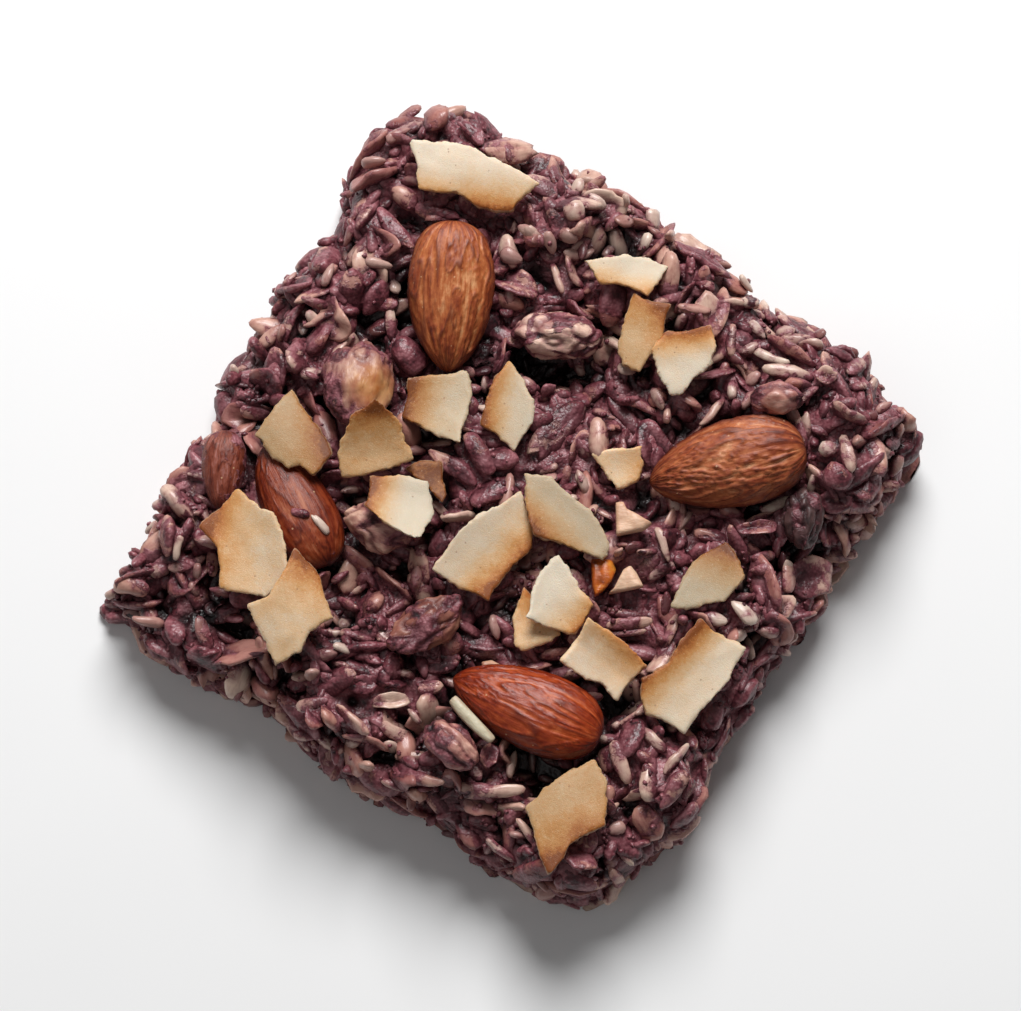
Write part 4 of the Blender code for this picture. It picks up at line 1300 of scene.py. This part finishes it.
CRUMB_COUNT = 1800
CRUMB_LENGTH = (0.5, 1.2)
CRUMB_WIDTH = (0.7, 1.0)
CRUMB_HEIGHT = 0.7
# Crumbs lie where the noise is higher than this, on whatever faces less far down than this.
CRUMBS_FROM = 0.05
CRUMBS_DOWN = -0.5
# From this many mm over the core, only this share of the crumbs is laid.
CRUMBS_HIGH = 1.5
FEW = 0.15
# Any heading all round, in radians.
ALL_ROUND = (0, 6.28)


def build_crumbs(bed, heap):
    """Small rough lumps of paste, in clusters on the flakes, seeds and core."""
    order = rng.permutation(len(bed.points))
    cluster = noise_at(bed.points[order], 5.0, 8.0)
    placed = 0
    for rank, index in enumerate(order):
        if placed >= CRUMB_COUNT:
            break
        if cluster[rank] < CRUMBS_FROM or bed.normals[index][2] < CRUMBS_DOWN:
            continue
        place, normal, height = bed.surface(index)
        if height > CRUMBS_HIGH and rng.random() < 1 - FEW:
            continue
        if normal[2] > 0.3 and bed.near_landmark(place, 0.2):
            continue
        if bed.toppings.on_top(place) or bed.toppings.room_above(place) < 1.0:
            continue
        size = rng.uniform(*CRUMB_LENGTH)
        size = size * np.array((1.0, rng.uniform(*CRUMB_WIDTH), CRUMB_HEIGHT))
        turn = frame_on(normal, rng.uniform(*ALL_ROUND), rng.normal(0, 0.5))
        heap.add(int(rng.integers(len(heap.shapes))), size, turn, place, rng.random(), 1.0)
        placed += 1


# ---- Floor, light and camera ----

# The photo's view, in degrees.
VIEW_AZIMUTH = 32.3
VIEW_ELEVATION = 80.0
# In metres, but for the sensor: how far the camera is, how wide it sees there, and its target.
CAMERA_DISTANCE = 0.62
IMAGE_SPAN = 0.1511
AIM = Vector((0.0009, -0.0020, 0.018))
SENSOR = 36.0
BAR_MIDDLE = Vector((0, 0, 0.015))
# Azimuths from the camera's, elevations, distances and sizes in metres, and watts.
LIGHTS = (("key", 178, 46, 0.9, 0.5, 11.0), ("fill", -60, 60, 1.0, 0.9, 0.9))
AMBIENT = 0.11
FLOOR_HALF = 2500


def aim(thing, azimuth, elevation, distance, target):
    """Puts a thing at a distance from a target and turns it there; at azimuth 0 it faces +Y."""
    a = math.radians(azimuth)
    e = math.radians(elevation)
    way = Vector((math.sin(a) * math.cos(e), -math.cos(a) * math.cos(e), math.sin(e)))
    thing.location = target + way * distance
    thing.rotation_euler = (target - thing.location).to_track_quat("-Z", "Y").to_euler()


def build_studio():
    """A pale floor, two soft lights, a faint light from all sides and the camera."""
    corners = np.array([(-1, -1, 0), (1, -1, 0), (1, 1, 0), (-1, 1, 0)])
    mesh = mesh_of("floor", corners * FLOOR_HALF, np.array([(0, 1, 2, 3)]))
    nodes = Nodes("pale_floor")
    soft = nodes.noise(nodes.place(60.0), 2.0)
    nodes.finish(nodes.mix(soft, (0.86, 0.86, 0.86), (0.90, 0.90, 0.90)), 0.9, specular=0.2)
    mesh.materials.append(nodes.material)
    floor = add_object("floor", mesh)

    for name, azimuth, elevation, distance, size, power in LIGHTS:
        data = bpy.data.lights.new(name, "AREA")
        data.shape = "DISK"
        data.size = size
        data.energy = power
        aim(add_object(name, data), VIEW_AZIMUTH + azimuth, elevation, distance, BAR_MIDDLE)

    world = bpy.data.worlds.new("studio")
    world.use_nodes = True
    background = world.node_tree.nodes["Background"].inputs
    background["Color"].default_value = (1.0, 1.0, 1.0, 1.0)
    background["Strength"].default_value = AMBIENT
    bpy.context.scene.world = world
    bpy.context.scene.view_settings.view_transform = "Standard"

    data = bpy.data.cameras.new("camera")
    data.sensor_width = SENSOR
    data.lens = SENSOR * CAMERA_DISTANCE / IMAGE_SPAN
    data.clip_start = 0.01
    camera = add_object("camera", data)
    aim(camera, VIEW_AZIMUTH, VIEW_ELEVATION, CAMERA_DISTANCE, AIM)
    bpy.context.scene.camera = camera


# ---- The whole bar ----


def main():
    build_studio()
    toppings = Toppings(ALMONDS + CHUNKS + CHIPS)
    spots = landmark_spots()
    bed = Bed(build_core(spots), toppings, spots)

    heaps = {}
    loose = {kind: Heap(SHAPES[kind]) for kind in RULES}
    laid = []
    for kind, heap in loose.items():
        lay_landmarks(heap, bed, kind, laid)
    for kind, rule in RULES.items():
        if kind not in BIG_KINDS:
            bed.cover(list(heaps.values()))
        scatter(loose[kind], bed, rule)
        points, faces, layers = loose[kind].joined()
        heaps[kind] = (uneven(points), faces, layers)
    for kind, (points, faces, layers) in heaps.items():
        count = len(SHAPES[kind][0][0])
        heaps[kind] = (drawn_in(points, count, bed), faces, layers)
    raised = raise_paste(bed, list(heaps.values()))
    above = Envelope(raised, bed.faces)
    for kind, (points, faces, layers) in heaps.items():
        new_piece(kind, points, faces, piece_material(kind), "granola",
                  deep=bed.envelope.depth(points), above=-above.depth(points), **layers)
    paste = paste_material()
    new_piece("paste_core", raised, bed.faces, paste, "granola", [SLAB],
              deep=bed.envelope.depth(raised))
    bed.cover(list(heaps.values()))
    crumbs = Heap([crumb_shape(s * 3.3) for s in range(6)])
    build_crumbs(bed, crumbs)
    points, faces, _ = crumbs.joined()
    new_piece("paste_crumbs", points, faces, paste, "granola", deep=bed.envelope.depth(points))

    build_blocks(bed)
    for seed, name in enumerate(ALMONDS):
        build_almond(name, seed)
    for seed, name in enumerate(CHUNKS):
        build_chunk(name, seed)
    chip = chip_material()
    for seed, (name, toasted) in enumerate(zip(CHIPS, TOASTED)):
        build_chip(name, toasted, chip, seed)


main()
